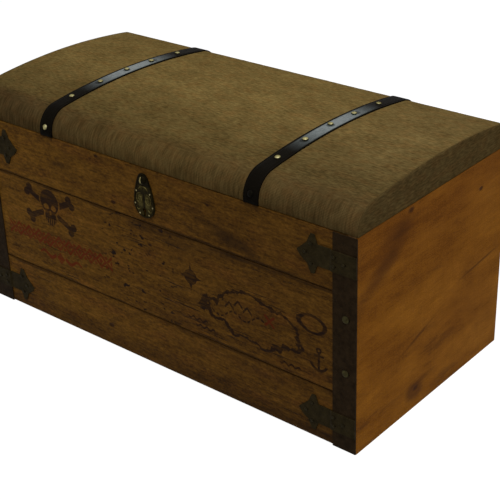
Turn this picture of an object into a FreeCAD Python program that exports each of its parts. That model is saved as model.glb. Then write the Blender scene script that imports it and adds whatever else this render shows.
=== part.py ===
import FreeCAD, Part
import math
import os
import re

import Sketcher

# A timber chest with a low domed lid: planked front and back, board ends, iron corner straps with
# spear-head brackets, a chest lock behind a brass escutcheon, and a cloth-covered lid on two butt hinges
# with a slotted stay. Millimetres. The origin is the middle of the underside, the front faces -Y, +Z is up.

SIZES = {
    # Carcass: planks between the two end boards, posts inside the corners
    "chest_width": 900,
    "chest_depth": 450,
    "chest_height": 400,
    "wall": 18,
    "narrow_plank": 106,
    "plank_chamfer": 2.5,
    "edge_ease": 1.5,
    "bottom_thickness": 12,
    "post_side": 24,
    "post_drop": 8,
    "overrun": 5,
    # Corner irons and spear brackets
    "iron_width": 46,
    "iron_thickness": 2,
    "iron_end_gap": 1,
    "bracket_length": 116,
    "bracket_bar": 37,
    "barb_span": 69,
    "bracket_inset": 51,
    "joggle_start": 1,
    "joggle_length": 4,
    "barb_round": 5,
    "spear_round": 45,
    "bar_end_share": 0.655,
    "barb_inner_share": 0.70,
    "barb_outer_share": 0.765,
    "barb_top_share": 0.485,
    "shoulder_share": 0.83,
    "shoulder_rise_share": 0.26,
    # Iron nails
    "nail_head": 3.6,
    "nail_crown": 1.8,
    "corner_nail_head": 7.2,
    "corner_nail_crown": 3.2,
    "nail_shank": 1.5,
    "nail_length": 15,
    "nail_hole_clearance": 0.2,
    "corner_nail_inset": 13.5,
    "corner_nail_low": 153,
    "corner_nail_high": 253,
    "bracket_nail_inset": 21,
    "edge_nail_inset": 6,
    "bar_nail_share": 0.22,
    "barb_nail_share": 0.735,
    "barb_nail_rise_share": 0.255,
    "tip_nail_share": 0.84,
    # Escutcheon
    "plate_drop": 10.5,
    "plate_height": 84,
    "plate_belly": 24.5,
    "plate_crown": 11.5,
    "plate_flank": 140,
    "plate_thickness": 2.5,
    "belly_angle": 4.5,
    "crown_angle": 26.4,
    "knob_radius": 8.5,
    "knob_height": 6,
    "keyhole_round": 4.5,
    "keyhole_slot": 5,
    "keyhole_rise": 14,
    "keyhole_length": 11.5,
    "pin_head": 1.9,
    "pin_crown": 1.2,
    "pin_shank": 0.9,
    "pin_length": 10,
    "pin_inset": 3.9,
    "low_pin_angle": -58,
    "middle_pin_angle": -2,
    # Chest lock
    "case_width": 96,
    "case_top_gap": 3,
    "case_height": 99,
    "case_depth": 18,
    "case_wall": 1.5,
    "flange_width": 12,
    "flange_screw_inset": 12,
    "bolt_set": 8,
    "bolt_thickness": 3,
    "bolt_travel": 9,
    "bolt_clearance": 1.5,
    "bolt_drop": 23,
    "bolt_height": 48,
    "finger_length": 8.5,
    "finger_height": 7,
    "neck_width": 6,
    "talon_width": 8,
    "talon_depth": 6,
    "guide_drop": 20,
    "guide_spread": 26,
    "guide_shaft": 3,
    "guide_collar": 5,
    "guide_head_thickness": 1.5,
    "slide_clearance": 0.3,
    # Strike plate with two staples
    "strike_length": 80,
    "strike_width": 18,
    "strike_thickness": 2,
    "strike_recess": 1.5,
    "strike_screw_inset": 8,
    "staple_spacing": 40,
    "staple_thickness": 4,
    "staple_width": 11,
    "staple_drop": 20,
    "staple_leg": 3,
    "staple_foot": 4,
    "eye_height": 10,
    "slot_room": 1.5,
    "recess_clearance": 0.3,
    # Domed lid
    "lid_gap": 1.5,
    "lid_rise": 62,
    "lid_edge": 7,
    "shoulder_radius": 42,
    "cloth": 1,
    "cloth_hem": 14,
    "stave_thickness": 9,
    "stave_gap_share": 0.003,
    "rail_base": 36,
    "rail_heel": 14,
    "rail_ledge": 12,
    "gable_thickness": 18,
    # Lid straps and their dome-head nails
    "strap_share": 0.269,
    "strap_width": 31,
    "strap_thickness": 2.5,
    "stud_head": 5.5,
    "stud_crown": 3,
    "stud_shank": 1.4,
    "stud_length": 11,
    "stud_pitch": 74,
    "stud_lead": 13,
    "stud_drop": 23,
    # Butt hinges
    "hinge_share": 0.345,
    "hinge_length": 76,
    "leaf_thickness": 2,
    "leaf_gap": 0.5,
    "leaf_reach": 22,
    "knuckle_radius": 4.5,
    "knuckle_gap": 0.4,
    "axis_clearance": 0.5,
    "hinge_pin": 2.5,
    "pin_clearance": 0.05,
    "pin_tip": 2,
    "pin_button": 3.6,
    "screw_head": 3.6,
    "screw_shank": 1.8,
    "screw_length": 16,
    "screw_spread": 25,
    "screw_crown": 1.8,
    "short_screw_length": 12,
    "countersink_angle": 45,
    # Slotted lid stay: pivot and stud lie on one circle about the hinge axis
    "stay_radius": 150,
    "pivot_rise": 18,
    "stud_angle": 20,
    "lid_open_angle": 100,
    "arm_width": 16,
    "arm_thickness": 3,
    "arm_set": 6.5,
    "slot_spare": 4,
    "stay_stud": 4,
    "stay_pivot": 3,
    "stay_head": 7,
    "stay_head_thickness": 2,
    "stay_plate_thickness": 2.5,
    "stay_plate_width": 24,
    "stay_plate_length": 40,
    "stay_screw_spread": 14,
}
STAVE_COUNT = 5
KNUCKLE_COUNT = 5
SIDES = {"left": -1, "right": 1}

doc = FreeCAD.newDocument("Chest")
sheet = doc.addObject("Spreadsheet::Sheet", "Sizes")
for row, (size_name, size) in enumerate(SIZES.items(), start=1):
    sheet.set(f"A{row}", size_name)
    sheet.set(f"B{row}", str(size))
    sheet.setAlias(f"B{row}", size_name)
doc.recompute()
nodes = []


def formula(text):
    """A sum of size names as an expression on the sheet's cells."""
    return re.sub(r"[a-z_]+", lambda word: f"Sizes.{word[0]}" if word[0] in SIZES else word[0], text)


def value(text):
    """The number that a sum of size names comes to."""
    return float(sheet.evalExpression(formula(text)))


def bind(thing, property_name, text):
    thing.setExpression(property_name, formula(text))


# Sketches and features

def arc_between(start, end, radius, turn):
    """An arc under half a circle from start to end; turn is 1 to the left and -1 to the right."""
    chord = end - start
    across = FreeCAD.Vector(-chord.y, chord.x, 0) * (turn / chord.Length)
    centre = (start + end) * 0.5 + across * math.sqrt(max(radius ** 2 - chord.Length ** 2 / 4, 0))
    first, last = (start, end) if turn > 0 else (end, start)
    angles = [math.atan2(spot.y - centre.y, spot.x - centre.x) for spot in (first, last)]
    circle = Part.Circle(centre, FreeCAD.Vector(0, 0, 1), radius)
    return Part.ArcOfCircle(circle, *angles)


def fix(sketch, kind, geometry, end, text):
    """Hold one coordinate of a point at a named size, measured from the sketch's origin."""
    number = sketch.addConstraint(Sketcher.Constraint(kind, -1, 1, geometry, end, value(text)))
    bind(sketch, f"Constraints[{number}]", text)


def fix_radius(sketch, geometry, text):
    number = sketch.addConstraint(Sketcher.Constraint("Radius", geometry, value(text)))
    bind(sketch, f"Constraints[{number}]", text)


def draw_outline(sketch, path):
    """A closed outline of points (u, v); (u, v, radius, turn) is left by an arc instead of a line."""
    spots = [FreeCAD.Vector(value(point[0]), value(point[1]), 0) for point in path]
    ends = []
    for point, start, end in zip(path, spots, spots[1:] + spots[:1]):
        if len(point) == 2:
            ends.append((sketch.addGeometry(Part.LineSegment(start, end)), 1, 2))
        else:
            curve = arc_between(start, end, value(point[2]), point[3])
            first, last = (1, 2) if point[3] > 0 else (2, 1)
            ends.append((sketch.addGeometry(curve), first, last))
    for point, (geometry, first, last), (following, onward, _) in zip(path, ends, ends[1:] + ends[:1]):
        sketch.addConstraint(Sketcher.Constraint("Coincident", geometry, last, following, onward))
        fix(sketch, "DistanceX", geometry, first, point[0])
        fix(sketch, "DistanceY", geometry, first, point[1])
        if len(point) > 2:
            fix_radius(sketch, geometry, point[2])


def draw_circle(sketch, u, v, radius):
    centre = FreeCAD.Vector(value(u), value(v), 0)
    geometry = sketch.addGeometry(Part.Circle(centre, FreeCAD.Vector(0, 0, 1), value(radius)))
    fix(sketch, "DistanceX", geometry, 3, u)
    fix(sketch, "DistanceY", geometry, 3, v)
    fix_radius(sketch, geometry, radius)


def add_sketch(body, plane, outlines, circles=(), lift=None, shift=None):
    """A sketch on one of the body's own planes, lifted along its normal and shifted up its v axis."""
    sketch = body.newObject("Sketcher::SketchObject", f"{body.Name}_sketch")
    support = next(feature for feature in body.Origin.OriginFeatures if feature.Role == plane)
    sketch.AttachmentSupport = [(support, "")]
    sketch.MapMode = "FlatFace"
    if lift:
        bind(sketch, "AttachmentOffset.Base.z", lift)
    if shift:
        bind(sketch, "AttachmentOffset.Base.y", shift)
    for outline in outlines:
        draw_outline(sketch, outline)
    for circle in circles:
        draw_circle(sketch, *circle)
    return sketch


def pad(body, plane, outlines, length, circles=(), lift=None, middle=False, reverse=False):
    feature = body.newObject("PartDesign::Pad", f"{body.Name}_pad")
    feature.Profile = add_sketch(body, plane, outlines, circles, lift)
    feature.Midplane = middle
    feature.Reversed = reverse
    bind(feature, "Length", length)
    doc.recompute()


def pocket(body, plane, outlines, length=None, circles=(), lift=None, reverse=False, taper=None):
    """A cut from the sketch against its normal, or right through both ways where no length is given."""
    before = body.Shape.Volume
    feature = body.newObject("PartDesign::Pocket", f"{body.Name}_pocket")
    feature.Profile = add_sketch(body, plane, outlines, circles, lift)
    if length:
        bind(feature, "Length", length)
        feature.Reversed = reverse
    else:
        feature.Type = "ThroughAll"
        feature.Midplane = True
    if taper:
        bind(feature, "TaperAngle", taper)
    doc.recompute()
    if not body.Shape.Volume < before:
        raise RuntimeError(f"{body.Label}: a cut removed nothing")


def revolve(body, outline, plane="XZ_Plane", axis="V_Axis", shift=None):
    feature = body.newObject("PartDesign::Revolution", f"{body.Name}_turning")
    sketch = add_sketch(body, plane, [outline], shift=shift)
    feature.Profile = sketch
    feature.ReferenceAxis = (sketch, [axis])
    doc.recompute()


def new_body(label, is_node=True):
    body = doc.addObject("PartDesign::Body", label)
    body.Label = label
    if is_node:
        nodes.append(body)
    return body


def new_box(label, length, width, height, x, y, z):
    """A plain squared timber; x and y are its middle and z its underside."""
    box = doc.addObject("Part::Box", label)
    box.Label = label
    for side, text in (("Length", length), ("Width", width), ("Height", height)):
        bind(box, side, text)
    bind(box, "Placement.Base.x", f"{x} - ({length}) / 2")
    bind(box, "Placement.Base.y", f"{y} - ({width}) / 2")
    bind(box, "Placement.Base.z", z)
    nodes.append(box)
    return box


def scatter(label, pattern, spots):
    """A node of copies of one fastener, each at a point with its head towards a direction."""
    copies = []
    for point, direction in spots:
        copy = pattern.Shape.copy()
        turn = FreeCAD.Rotation(FreeCAD.Vector(0, 0, 1), FreeCAD.Vector(*direction))
        copy.Placement = FreeCAD.Placement(FreeCAD.Vector(*[value(text) for text in point]), turn)
        copies.append(copy)
    group = doc.addObject("Part::Feature", label)
    group.Label = label
    group.Shape = Part.Compound(copies)
    nodes.append(group)


def rectangle(low_u, low_v, high_u, high_v):
    return [(low_u, low_v), (high_u, low_v), (high_u, high_v), (low_u, high_v)]


def backwards(path):
    """The same open path walked from its end."""
    bends = [()] + [point[2:] for point in path[:-1]]
    return [point[:2] + ((bend[0], -bend[1]) if bend else ())
            for point, bend in zip(path[::-1], bends[::-1])]


def dome_fastener(name, head, crown, shank, length):
    """A round-headed nail or screw on the Z axis, with the underside of its head at zero."""
    fastener = new_body(name, is_node=False)
    round_of_head = f"({head} ^ 2 + {crown} ^ 2) / (2 * {crown})"
    revolve(fastener, [
        ("0", crown, round_of_head, -1), (head, "0"), (shank, "0"), (shank, f"-({length} - {shank})"),
        ("0", f"-{length}")])
    return fastener


# Carcass

HALF_DEPTH = "chest_depth / 2"
HALF_WIDTH = "chest_width / 2"
INNER_WIDTH = "(chest_width - 2 * wall)"
INNER_DEPTH = "(chest_depth - 2 * wall)"
FRONT = "-chest_depth / 2"

new_box("bottom_board", INNER_WIDTH, INNER_DEPTH, "bottom_thickness", "0", "0", "0")


def plank(label, side, low, high):
    """A plank between the end boards, eased on the long edges of its outer face."""
    outer = f"{side} * {HALF_DEPTH}"
    eased = f"{side} * ({HALF_DEPTH} - plank_chamfer)"
    inner = f"{side} * ({HALF_DEPTH} - wall)"
    section = [(inner, low), (eased, low), (outer, f"{low} + plank_chamfer"),
               (outer, f"{high} - plank_chamfer"), (eased, high), (inner, high)]
    timber = new_body(label)
    pad(timber, "YZ_Plane", [section], INNER_WIDTH, middle=True)
    return timber


PLANK_LEVELS = {"bottom": ("0", "narrow_plank"),
                "middle": ("narrow_plank", "(chest_height - narrow_plank)"),
                "top": ("(chest_height - narrow_plank)", "chest_height")}
planks = {}
for face, face_side in (("front", -1), ("back", 1)):
    for level, (low, high) in PLANK_LEVELS.items():
        planks[face, level] = plank(f"{face}_plank_{level}", face_side, low, high)

for word, side in SIDES.items():
    outer = f"{side} * {HALF_WIDTH}"
    eased = f"{side} * ({HALF_WIDTH} - edge_ease)"
    inner = f"{side} * ({HALF_WIDTH} - wall)"
    board = new_body(f"end_board_{word}")
    pad(board, "XY_Plane", [[
        (inner, f"-{HALF_DEPTH}"), (eased, f"-{HALF_DEPTH}"), (outer, f"-({HALF_DEPTH} - edge_ease)"),
        (outer, f"{HALF_DEPTH} - edge_ease"), (eased, HALF_DEPTH), (inner, HALF_DEPTH)]], "chest_height")

for face, face_side in (("front", -1), ("back", 1)):
    for word, side in SIDES.items():
        new_box(f"corner_post_{face}_{word}", "post_side", "post_side",
                "chest_height - bottom_thickness - post_drop",
                f"{side} * ({HALF_WIDTH} - wall - post_side / 2)",
                f"{face_side} * ({HALF_DEPTH} - wall - post_side / 2)", "bottom_thickness")

# Keyhole, cut alike through the front plank and the escutcheon

PLATE_FOOT = "(chest_height - plate_drop - plate_height)"
KEYHOLE_EYE = f"({PLATE_FOOT} + keyhole_rise)"
KEYHOLE_FOOT = f"({KEYHOLE_EYE} - keyhole_length)"
KEYHOLE_WAIST = f"{KEYHOLE_EYE} - sqrt(keyhole_round ^ 2 - keyhole_slot ^ 2 / 4)"
KEYHOLE = [("-keyhole_slot / 2", KEYHOLE_FOOT), ("keyhole_slot / 2", KEYHOLE_FOOT),
           ("keyhole_slot / 2", KEYHOLE_WAIST, "keyhole_round", 1),
           ("0", f"{KEYHOLE_EYE} + keyhole_round", "keyhole_round", 1),
           ("-keyhole_slot / 2", KEYHOLE_WAIST)]
pocket(planks["front", "top"], "XZ_Plane", [KEYHOLE])

# Corner irons

NAIL_HOLE = "nail_shank + nail_hole_clearance"
for word, side in SIDES.items():
    iron = new_body(f"corner_iron_{word}")
    corner_x = f"{side} * ({HALF_WIDTH} - corner_nail_inset)"
    bracket_x = f"{side} * ({HALF_WIDTH} - bracket_nail_inset)"
    edge_x = f"{side} * ({HALF_WIDTH} - iron_width + edge_nail_inset)"
    holes = [(corner_x, height, NAIL_HOLE) for height in ("corner_nail_low", "corner_nail_high")]
    for centre in ("bracket_inset", "chest_height - bracket_inset"):
        holes.append((bracket_x, centre, NAIL_HOLE))
        for tier in (-1, 1):
            holes.append((edge_x, f"{centre} + {tier} * bar_nail_share * bracket_bar", NAIL_HOLE))
    pad(iron, "XZ_Plane",
        [rectangle(f"{side} * ({HALF_WIDTH} - iron_width)", "iron_end_gap",
                   f"{side} * {HALF_WIDTH}", "chest_height - iron_end_gap")],
        "iron_thickness", circles=holes, lift=HALF_DEPTH)


# Spear brackets: a bar stepped over the corner iron, cut to a barbed spear head

def spear_outline(side, centre):
    """The bracket's front view: bar, barb, shoulder and tip below its middle line, then the same above."""
    half = [("-overrun", "bracket_bar / 2"),
            ("bar_end_share * bracket_length", "bracket_bar / 2"),
            ("barb_inner_share * bracket_length", "barb_top_share * barb_span", "barb_round"),
            ("barb_outer_share * bracket_length", "barb_span / 2"),
            ("shoulder_share * bracket_length", "shoulder_rise_share * barb_span", "spear_round"),
            ("bracket_length", "0")]

    def placed(way):
        return [(f"{side} * ({HALF_WIDTH} - {along})", f"{centre} + {way} * {rise}",
                 *[text for radius in bend for text in (radius, side * way)])
                for along, rise, *bend in half]

    return placed(-1) + backwards(placed(1))[1:]


def bracket_nails(side, centre):
    """Each nail's x and z on a bracket, and whether it also goes through the corner iron."""
    spots = [("bracket_nail_inset", "0", True), ("tip_nail_share * bracket_length", "0", False)]
    for tier in (-1, 1):
        spots.append(("(iron_width - edge_nail_inset)", f"{tier} * bar_nail_share * bracket_bar", True))
        spots.append(("barb_nail_share * bracket_length",
                      f"{tier} * barb_nail_rise_share * barb_span", False))
    return [(f"{side} * ({HALF_WIDTH} - {along})", f"{centre} + {rise}", over_iron)
            for along, rise, over_iron in spots]


BRACKET_LEVELS = {"bottom": "bracket_inset", "top": "(chest_height - bracket_inset)"}
nail_spots = []
STEP_START = "(iron_width + joggle_start)"
STEP_END = "(iron_width + joggle_start + joggle_length)"
for level, centre in BRACKET_LEVELS.items():
    for word, side in SIDES.items():
        bracket = new_body(f"spear_bracket_{level}_{word}")
        plan = [("0", "2 * iron_thickness"), (STEP_START, "2 * iron_thickness"),
                (STEP_END, "iron_thickness"), ("bracket_length", "iron_thickness"),
                ("bracket_length", "0"), (STEP_END, "0"), (STEP_START, "iron_thickness"),
                ("0", "iron_thickness")]
        pad(bracket, "XY_Plane",
            [[(f"{side} * ({HALF_WIDTH} - {along})", f"{FRONT} - {out}") for along, out in plan]],
            "barb_span", lift=centre, middle=True)
        blank = rectangle(f"{side} * ({HALF_WIDTH} + 2 * overrun)", f"{centre} - barb_span / 2 - overrun",
                          f"{side} * ({HALF_WIDTH} - bracket_length - overrun)",
                          f"{centre} + barb_span / 2 + overrun")
        pocket(bracket, "XZ_Plane", [blank, spear_outline(side, centre)])
        spots = bracket_nails(side, centre)
        pocket(bracket, "XZ_Plane", [], circles=[(x, z, NAIL_HOLE) for x, z, _ in spots])
        for x, z, over_iron in spots:
            seat = "2 * iron_thickness" if over_iron else "iron_thickness"
            nail_spots.append(((x, f"{FRONT} - {seat}", z), (0, -1, 0)))
iron_nail = dome_fastener("iron_nail", "nail_head", "nail_crown", "nail_shank", "nail_length")
scatter("iron_nails", iron_nail, nail_spots)

# Large dome nails that hold the corner irons to the end boards' edges

corner_nail = dome_fastener("corner_nail", "corner_nail_head", "corner_nail_crown", "nail_shank",
                            "nail_length")
scatter("corner_nails", corner_nail,
        [((f"{side} * ({HALF_WIDTH} - corner_nail_inset)", f"{FRONT} - iron_thickness", height), (0, -1, 0))
         for side in SIDES.values() for height in ("corner_nail_low", "corner_nail_high")])

# Escutcheon: a pear-shaped cast plate with a knob at its top, held by small pins

BELLY_HEIGHT = f"({PLATE_FOOT} + plate_belly)"
CROWN_HEIGHT = f"({PLATE_FOOT} + plate_height - plate_crown)"
belly = ("plate_belly * cos(belly_angle)", f"{BELLY_HEIGHT} + plate_belly * sin(belly_angle)")
crown = ("plate_crown * cos(crown_angle)", f"{CROWN_HEIGHT} + plate_crown * sin(crown_angle)")
pear = [("0", PLATE_FOOT, "plate_belly", 1), belly + ("plate_flank", 1), crown + ("plate_crown", 1),
        ("0", f"{PLATE_FOOT} + plate_height", "plate_crown", 1),
        (f"-{crown[0]}", crown[1], "plate_flank", 1), (f"-{belly[0]}", belly[1], "plate_belly", 1)]
pin_spots = []
for side in SIDES.values():
    for angle in ("low_pin_angle", "middle_pin_angle"):
        pin_spots.append((f"{side} * (plate_belly - pin_inset) * cos({angle})",
                          f"{BELLY_HEIGHT} + (plate_belly - pin_inset) * sin({angle})"))
    pin_spots.append((f"{side} * (plate_belly + plate_crown - pin_inset) / 2",
                      f"({BELLY_HEIGHT} + {CROWN_HEIGHT}) / 2"))
escutcheon = new_body("escutcheon_plate")
pad(escutcheon, "XZ_Plane", [pear, KEYHOLE], "plate_thickness", lift=HALF_DEPTH,
    circles=[(x, z, "pin_shank + nail_hole_clearance") for x, z in pin_spots])
PLATE_FACE = f"({FRONT} - plate_thickness)"
revolve(escutcheon, [
    (PLATE_FACE, "0"),
    (f"{PLATE_FACE} - knob_height", "0", "(knob_radius ^ 2 + knob_height ^ 2) / 2 / knob_height", -1),
    (PLATE_FACE, "knob_radius")], plane="YZ_Plane", axis="H_Axis", shift=CROWN_HEIGHT)
plate_pin = dome_fastener("plate_pin", "pin_head", "pin_crown", "pin_shank", "pin_length")
scatter("escutcheon_pins", plate_pin, [((x, PLATE_FACE, z), (0, -1, 0)) for x, z in pin_spots])

# Chest lock: an open-backed case screwed inside the front plank, with a bolt that slides on two studs

CASE_SEAT = f"({HALF_DEPTH} - wall)"
CASE_TOP = "(chest_height - case_top_gap)"
CASE_FOOT = f"({CASE_TOP} - case_height)"
BOLT_SHOULDER = f"({CASE_TOP} - bolt_drop)"
BOLT_FOOT = f"({BOLT_SHOULDER} - bolt_height)"
GUIDE_LINE = f"({BOLT_SHOULDER} - guide_drop)"
BOLT_PLANE = f"({CASE_SEAT} - bolt_set)"
STAPLE_X = "staple_spacing / 2"
lock_case = new_body("lock_case")
pad(lock_case, "XZ_Plane", [rectangle("-case_width / 2", CASE_FOOT, "case_width / 2", CASE_TOP)],
    "case_depth", lift=CASE_SEAT, reverse=True)
pocket(lock_case, "XZ_Plane",
       [rectangle("-(case_width / 2 - case_wall)", f"{CASE_FOOT} + case_wall",
                  "case_width / 2 - case_wall", f"{CASE_TOP} - case_wall")],
       "case_depth - case_wall", lift=CASE_SEAT)
flange_screws = []
for side in SIDES.values():
    near = f"{side} * (case_width / 2 - case_wall)"
    far = f"{side} * (case_width / 2 + flange_width)"
    middle = f"{side} * (case_width / 2 + flange_width / 2)"
    holes = [(middle, level, "screw_shank + nail_hole_clearance") for level in
             (f"{CASE_FOOT} + flange_screw_inset", f"{CASE_TOP} - flange_screw_inset")]
    pad(lock_case, "XZ_Plane", [rectangle(near, CASE_FOOT, far, CASE_TOP)], "case_wall",
        circles=holes, lift=CASE_SEAT, reverse=True)
    flange_screws += [((x, f"-{CASE_SEAT} + case_wall", z), (0, 1, 0)) for x, z, _ in holes]
STAPLE_ROOM = "(staple_thickness / 2 + slot_room)"
slots = [rectangle(f"{side} * {STAPLE_X} - {STAPLE_ROOM}", f"-{BOLT_PLANE} - staple_width / 2 - slot_room",
                   f"{side} * {STAPLE_X} + {STAPLE_ROOM}", f"-{BOLT_PLANE} + staple_width / 2 + slot_room")
         for side in SIDES.values()]
pocket(lock_case, "XY_Plane", slots, "case_wall + overrun", lift=CASE_TOP)

round_screw = dome_fastener("round_screw", "screw_head", "screw_crown", "screw_shank", "short_screw_length")
scatter("lock_screws", round_screw, flange_screws)

guide_stud = new_body("guide_stud", is_node=False)
COLLAR = "(case_depth - case_wall - bolt_set - bolt_thickness / 2 - slide_clearance)"
SHAFT = f"({COLLAR} + bolt_thickness + 2 * slide_clearance)"
revolve(guide_stud, [("0", "0"), ("guide_collar", "0"), ("guide_collar", COLLAR), ("guide_shaft", COLLAR),
                     ("guide_shaft", SHAFT), ("guide_collar", SHAFT),
                     ("guide_collar", f"{SHAFT} + guide_head_thickness"),
                     ("0", f"{SHAFT} + guide_head_thickness")])
LEFT_TIP = f"(-{STAPLE_X} - staple_thickness / 2 - bolt_clearance)"
RIGHT_TIP = f"({STAPLE_X} - staple_thickness / 2 - bolt_clearance)"
BOLT_MIDDLE = f"(({LEFT_TIP} + {RIGHT_TIP}) / 2 - finger_length - neck_width / 2)"
stud_places = [f"{BOLT_MIDDLE} + bolt_travel / 2 + {side} * guide_spread / 2" for side in SIDES.values()]
scatter("lock_guide_studs", guide_stud,
        [((x, f"-{CASE_SEAT} + case_depth - case_wall", GUIDE_LINE), (0, -1, 0)) for x in stud_places])


def long_hole(low_u, high_u, v, radius):
    """A level slot with round ends, by the centres of its ends."""
    return [(low_u, f"{v} - {radius}"), (high_u, f"{v} - {radius}", radius, 1),
            (f"{high_u} + {radius}", v, radius, 1), (high_u, f"{v} + {radius}"),
            (low_u, f"{v} + {radius}", radius, 1), (f"{low_u} - {radius}", v, radius, 1)]


STAPLE_TOP = "(chest_height + lid_gap + strike_recess - strike_thickness)"
FINGER_FOOT = f"({STAPLE_TOP} - staple_drop + staple_foot + (eye_height - finger_height) / 2)"
fingers = []
for tip in (RIGHT_TIP, LEFT_TIP):
    neck = f"({tip} - finger_length)"
    fingers.append([(neck, FINGER_FOOT), (tip, FINGER_FOOT), (tip, f"{FINGER_FOOT} + finger_height"),
                    (f"{neck} - neck_width", f"{FINGER_FOOT} + finger_height")])
bolt_outline = [
    (fingers[1][3][0], BOLT_FOOT), (f"{BOLT_MIDDLE} - talon_width / 2", BOLT_FOOT),
    (f"{BOLT_MIDDLE} - talon_width / 2", f"{BOLT_FOOT} + talon_depth"),
    (f"{BOLT_MIDDLE} + talon_width / 2", f"{BOLT_FOOT} + talon_depth"),
    (f"{BOLT_MIDDLE} + talon_width / 2", BOLT_FOOT), (fingers[0][0][0], BOLT_FOOT),
    *fingers[0], (fingers[0][3][0], BOLT_SHOULDER), (fingers[1][0][0], BOLT_SHOULDER), *fingers[1]]
GUIDE_SLOT = "(guide_shaft + slide_clearance)"
lock_bolt = new_body("lock_bolt")
pad(lock_bolt, "XZ_Plane",
    [bolt_outline] + [long_hole(f"({x} - bolt_travel)", f"({x})", GUIDE_LINE, GUIDE_SLOT)
                      for x in stud_places],
    "bolt_thickness", lift=BOLT_PLANE, middle=True)

# Domed lid: its section is two upright edges, two round shoulders and one shallow arc, all concentric
# with the cloth's outer face, so a depth below the cloth fixes the section of each layer

LID_FOOT = "(chest_height + lid_gap)"
SHOULDER_Y = "(chest_depth / 2 - shoulder_radius)"
SHOULDER_Z = "(chest_height + lid_edge)"
CROWN_RISE = "(lid_rise - lid_edge)"
DOME_RADIUS = (f"(({SHOULDER_Y} ^ 2 + {CROWN_RISE} ^ 2 - shoulder_radius ^ 2)"
               f" / (2 * ({CROWN_RISE} - shoulder_radius)))")
DOME_CENTRE = f"(chest_height + lid_rise - {DOME_RADIUS})"
LEAN_SINE = f"({SHOULDER_Y} / ({DOME_RADIUS} - shoulder_radius))"
LEAN_COSINE = f"sqrt(1 - {LEAN_SINE} ^ 2)"


def meeting(depth):
    """Where shoulder and dome meet at a depth below the cloth: distance from mid-depth, and height."""
    return (f"({DOME_RADIUS} - {depth}) * {LEAN_SINE}",
            f"{DOME_CENTRE} + ({DOME_RADIUS} - {depth}) * {LEAN_COSINE}")


def on_dome(depth, y):
    return f"{DOME_CENTRE} + sqrt(({DOME_RADIUS} - {depth}) ^ 2 - ({y}) ^ 2)"


def arch(depth, foot):
    """The lid's section from its front edge over the dome to its back edge."""
    y, z = meeting(depth)
    edge = f"({HALF_DEPTH} - {depth})"
    shoulder = f"shoulder_radius - {depth}"
    return [(f"-{edge}", foot), (f"-{edge}", SHOULDER_Z, shoulder, -1),
            (f"-{y}", z, f"{DOME_RADIUS} - {depth}", -1), (y, z, shoulder, -1),
            (edge, SHOULDER_Z), (edge, foot)]


UNDER_STAVES = "(cloth + stave_thickness)"
LEDGE_Y = f"({meeting(UNDER_STAVES)[0]} - rail_ledge)"
RAIL_INSIDE = f"({HALF_DEPTH} - cloth - rail_base)"
LID_LENGTH = "(chest_width - 2 * cloth)"


def rail_inside(side):
    """The rail's inner face from its foot up to its ledge, which the gables meet."""
    return [(f"{side} * {RAIL_INSIDE}", LID_FOOT), (f"{side} * {RAIL_INSIDE}", f"{LID_FOOT} + rail_heel"),
            (f"{side} * {LEDGE_Y}", on_dome(UNDER_STAVES, LEDGE_Y))]


rails = {}
for face, side in (("front", -1), ("back", 1)):
    high_y, high_z = meeting("cloth")
    low_y, low_z = meeting(UNDER_STAVES)
    edge = f"{side} * ({HALF_DEPTH} - cloth)"
    inside = rail_inside(side)
    section = inside[:2] + [inside[2] + (f"{DOME_RADIUS} - {UNDER_STAVES}", -side),
                            (f"{side} * {low_y}", low_z),
                            (f"{side} * {high_y}", high_z, "shoulder_radius - cloth", -side),
                            (edge, SHOULDER_Z), (edge, LID_FOOT)]
    rails[face] = new_body(f"lid_rail_{face}")
    pad(rails[face], "YZ_Plane", [section], LID_LENGTH, middle=True)

for word, side in SIDES.items():
    gable = new_body(f"lid_gable_{word}")
    front_edge = rail_inside(-1)
    section = front_edge[:2] + [front_edge[2] + (f"{DOME_RADIUS} - {UNDER_STAVES}", -1)]
    section += rail_inside(1)[::-1]
    pad(gable, "YZ_Plane", [section], "gable_thickness", middle=True,
        lift=f"{side} * ({HALF_WIDTH} - cloth - gable_thickness / 2)")


def stave_corner(depth, place):
    """A corner of a stave at a depth below the cloth; place counts staves from the front rail."""
    turn = f"asin({LEAN_SINE}) * (2 * ({place}) / {STAVE_COUNT} - 1)"
    radius = f"({DOME_RADIUS} - {depth})"
    return f"{radius} * sin({turn})", f"{DOME_CENTRE} + {radius} * cos({turn})"


for number in range(STAVE_COUNT):
    near, far = f"{number} + stave_gap_share", f"{number + 1} - stave_gap_share"
    stave = new_body(f"lid_stave_{number + 1}")
    pad(stave, "YZ_Plane", [[
        stave_corner(UNDER_STAVES, near), stave_corner("cloth", near) + (f"{DOME_RADIUS} - cloth", -1),
        stave_corner("cloth", far),
        stave_corner(UNDER_STAVES, far) + (f"{DOME_RADIUS} - {UNDER_STAVES}", 1)]], LID_LENGTH, middle=True)

# Cloth: one length over the lid with its hems turned under the rails, and a piece on each gable

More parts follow.
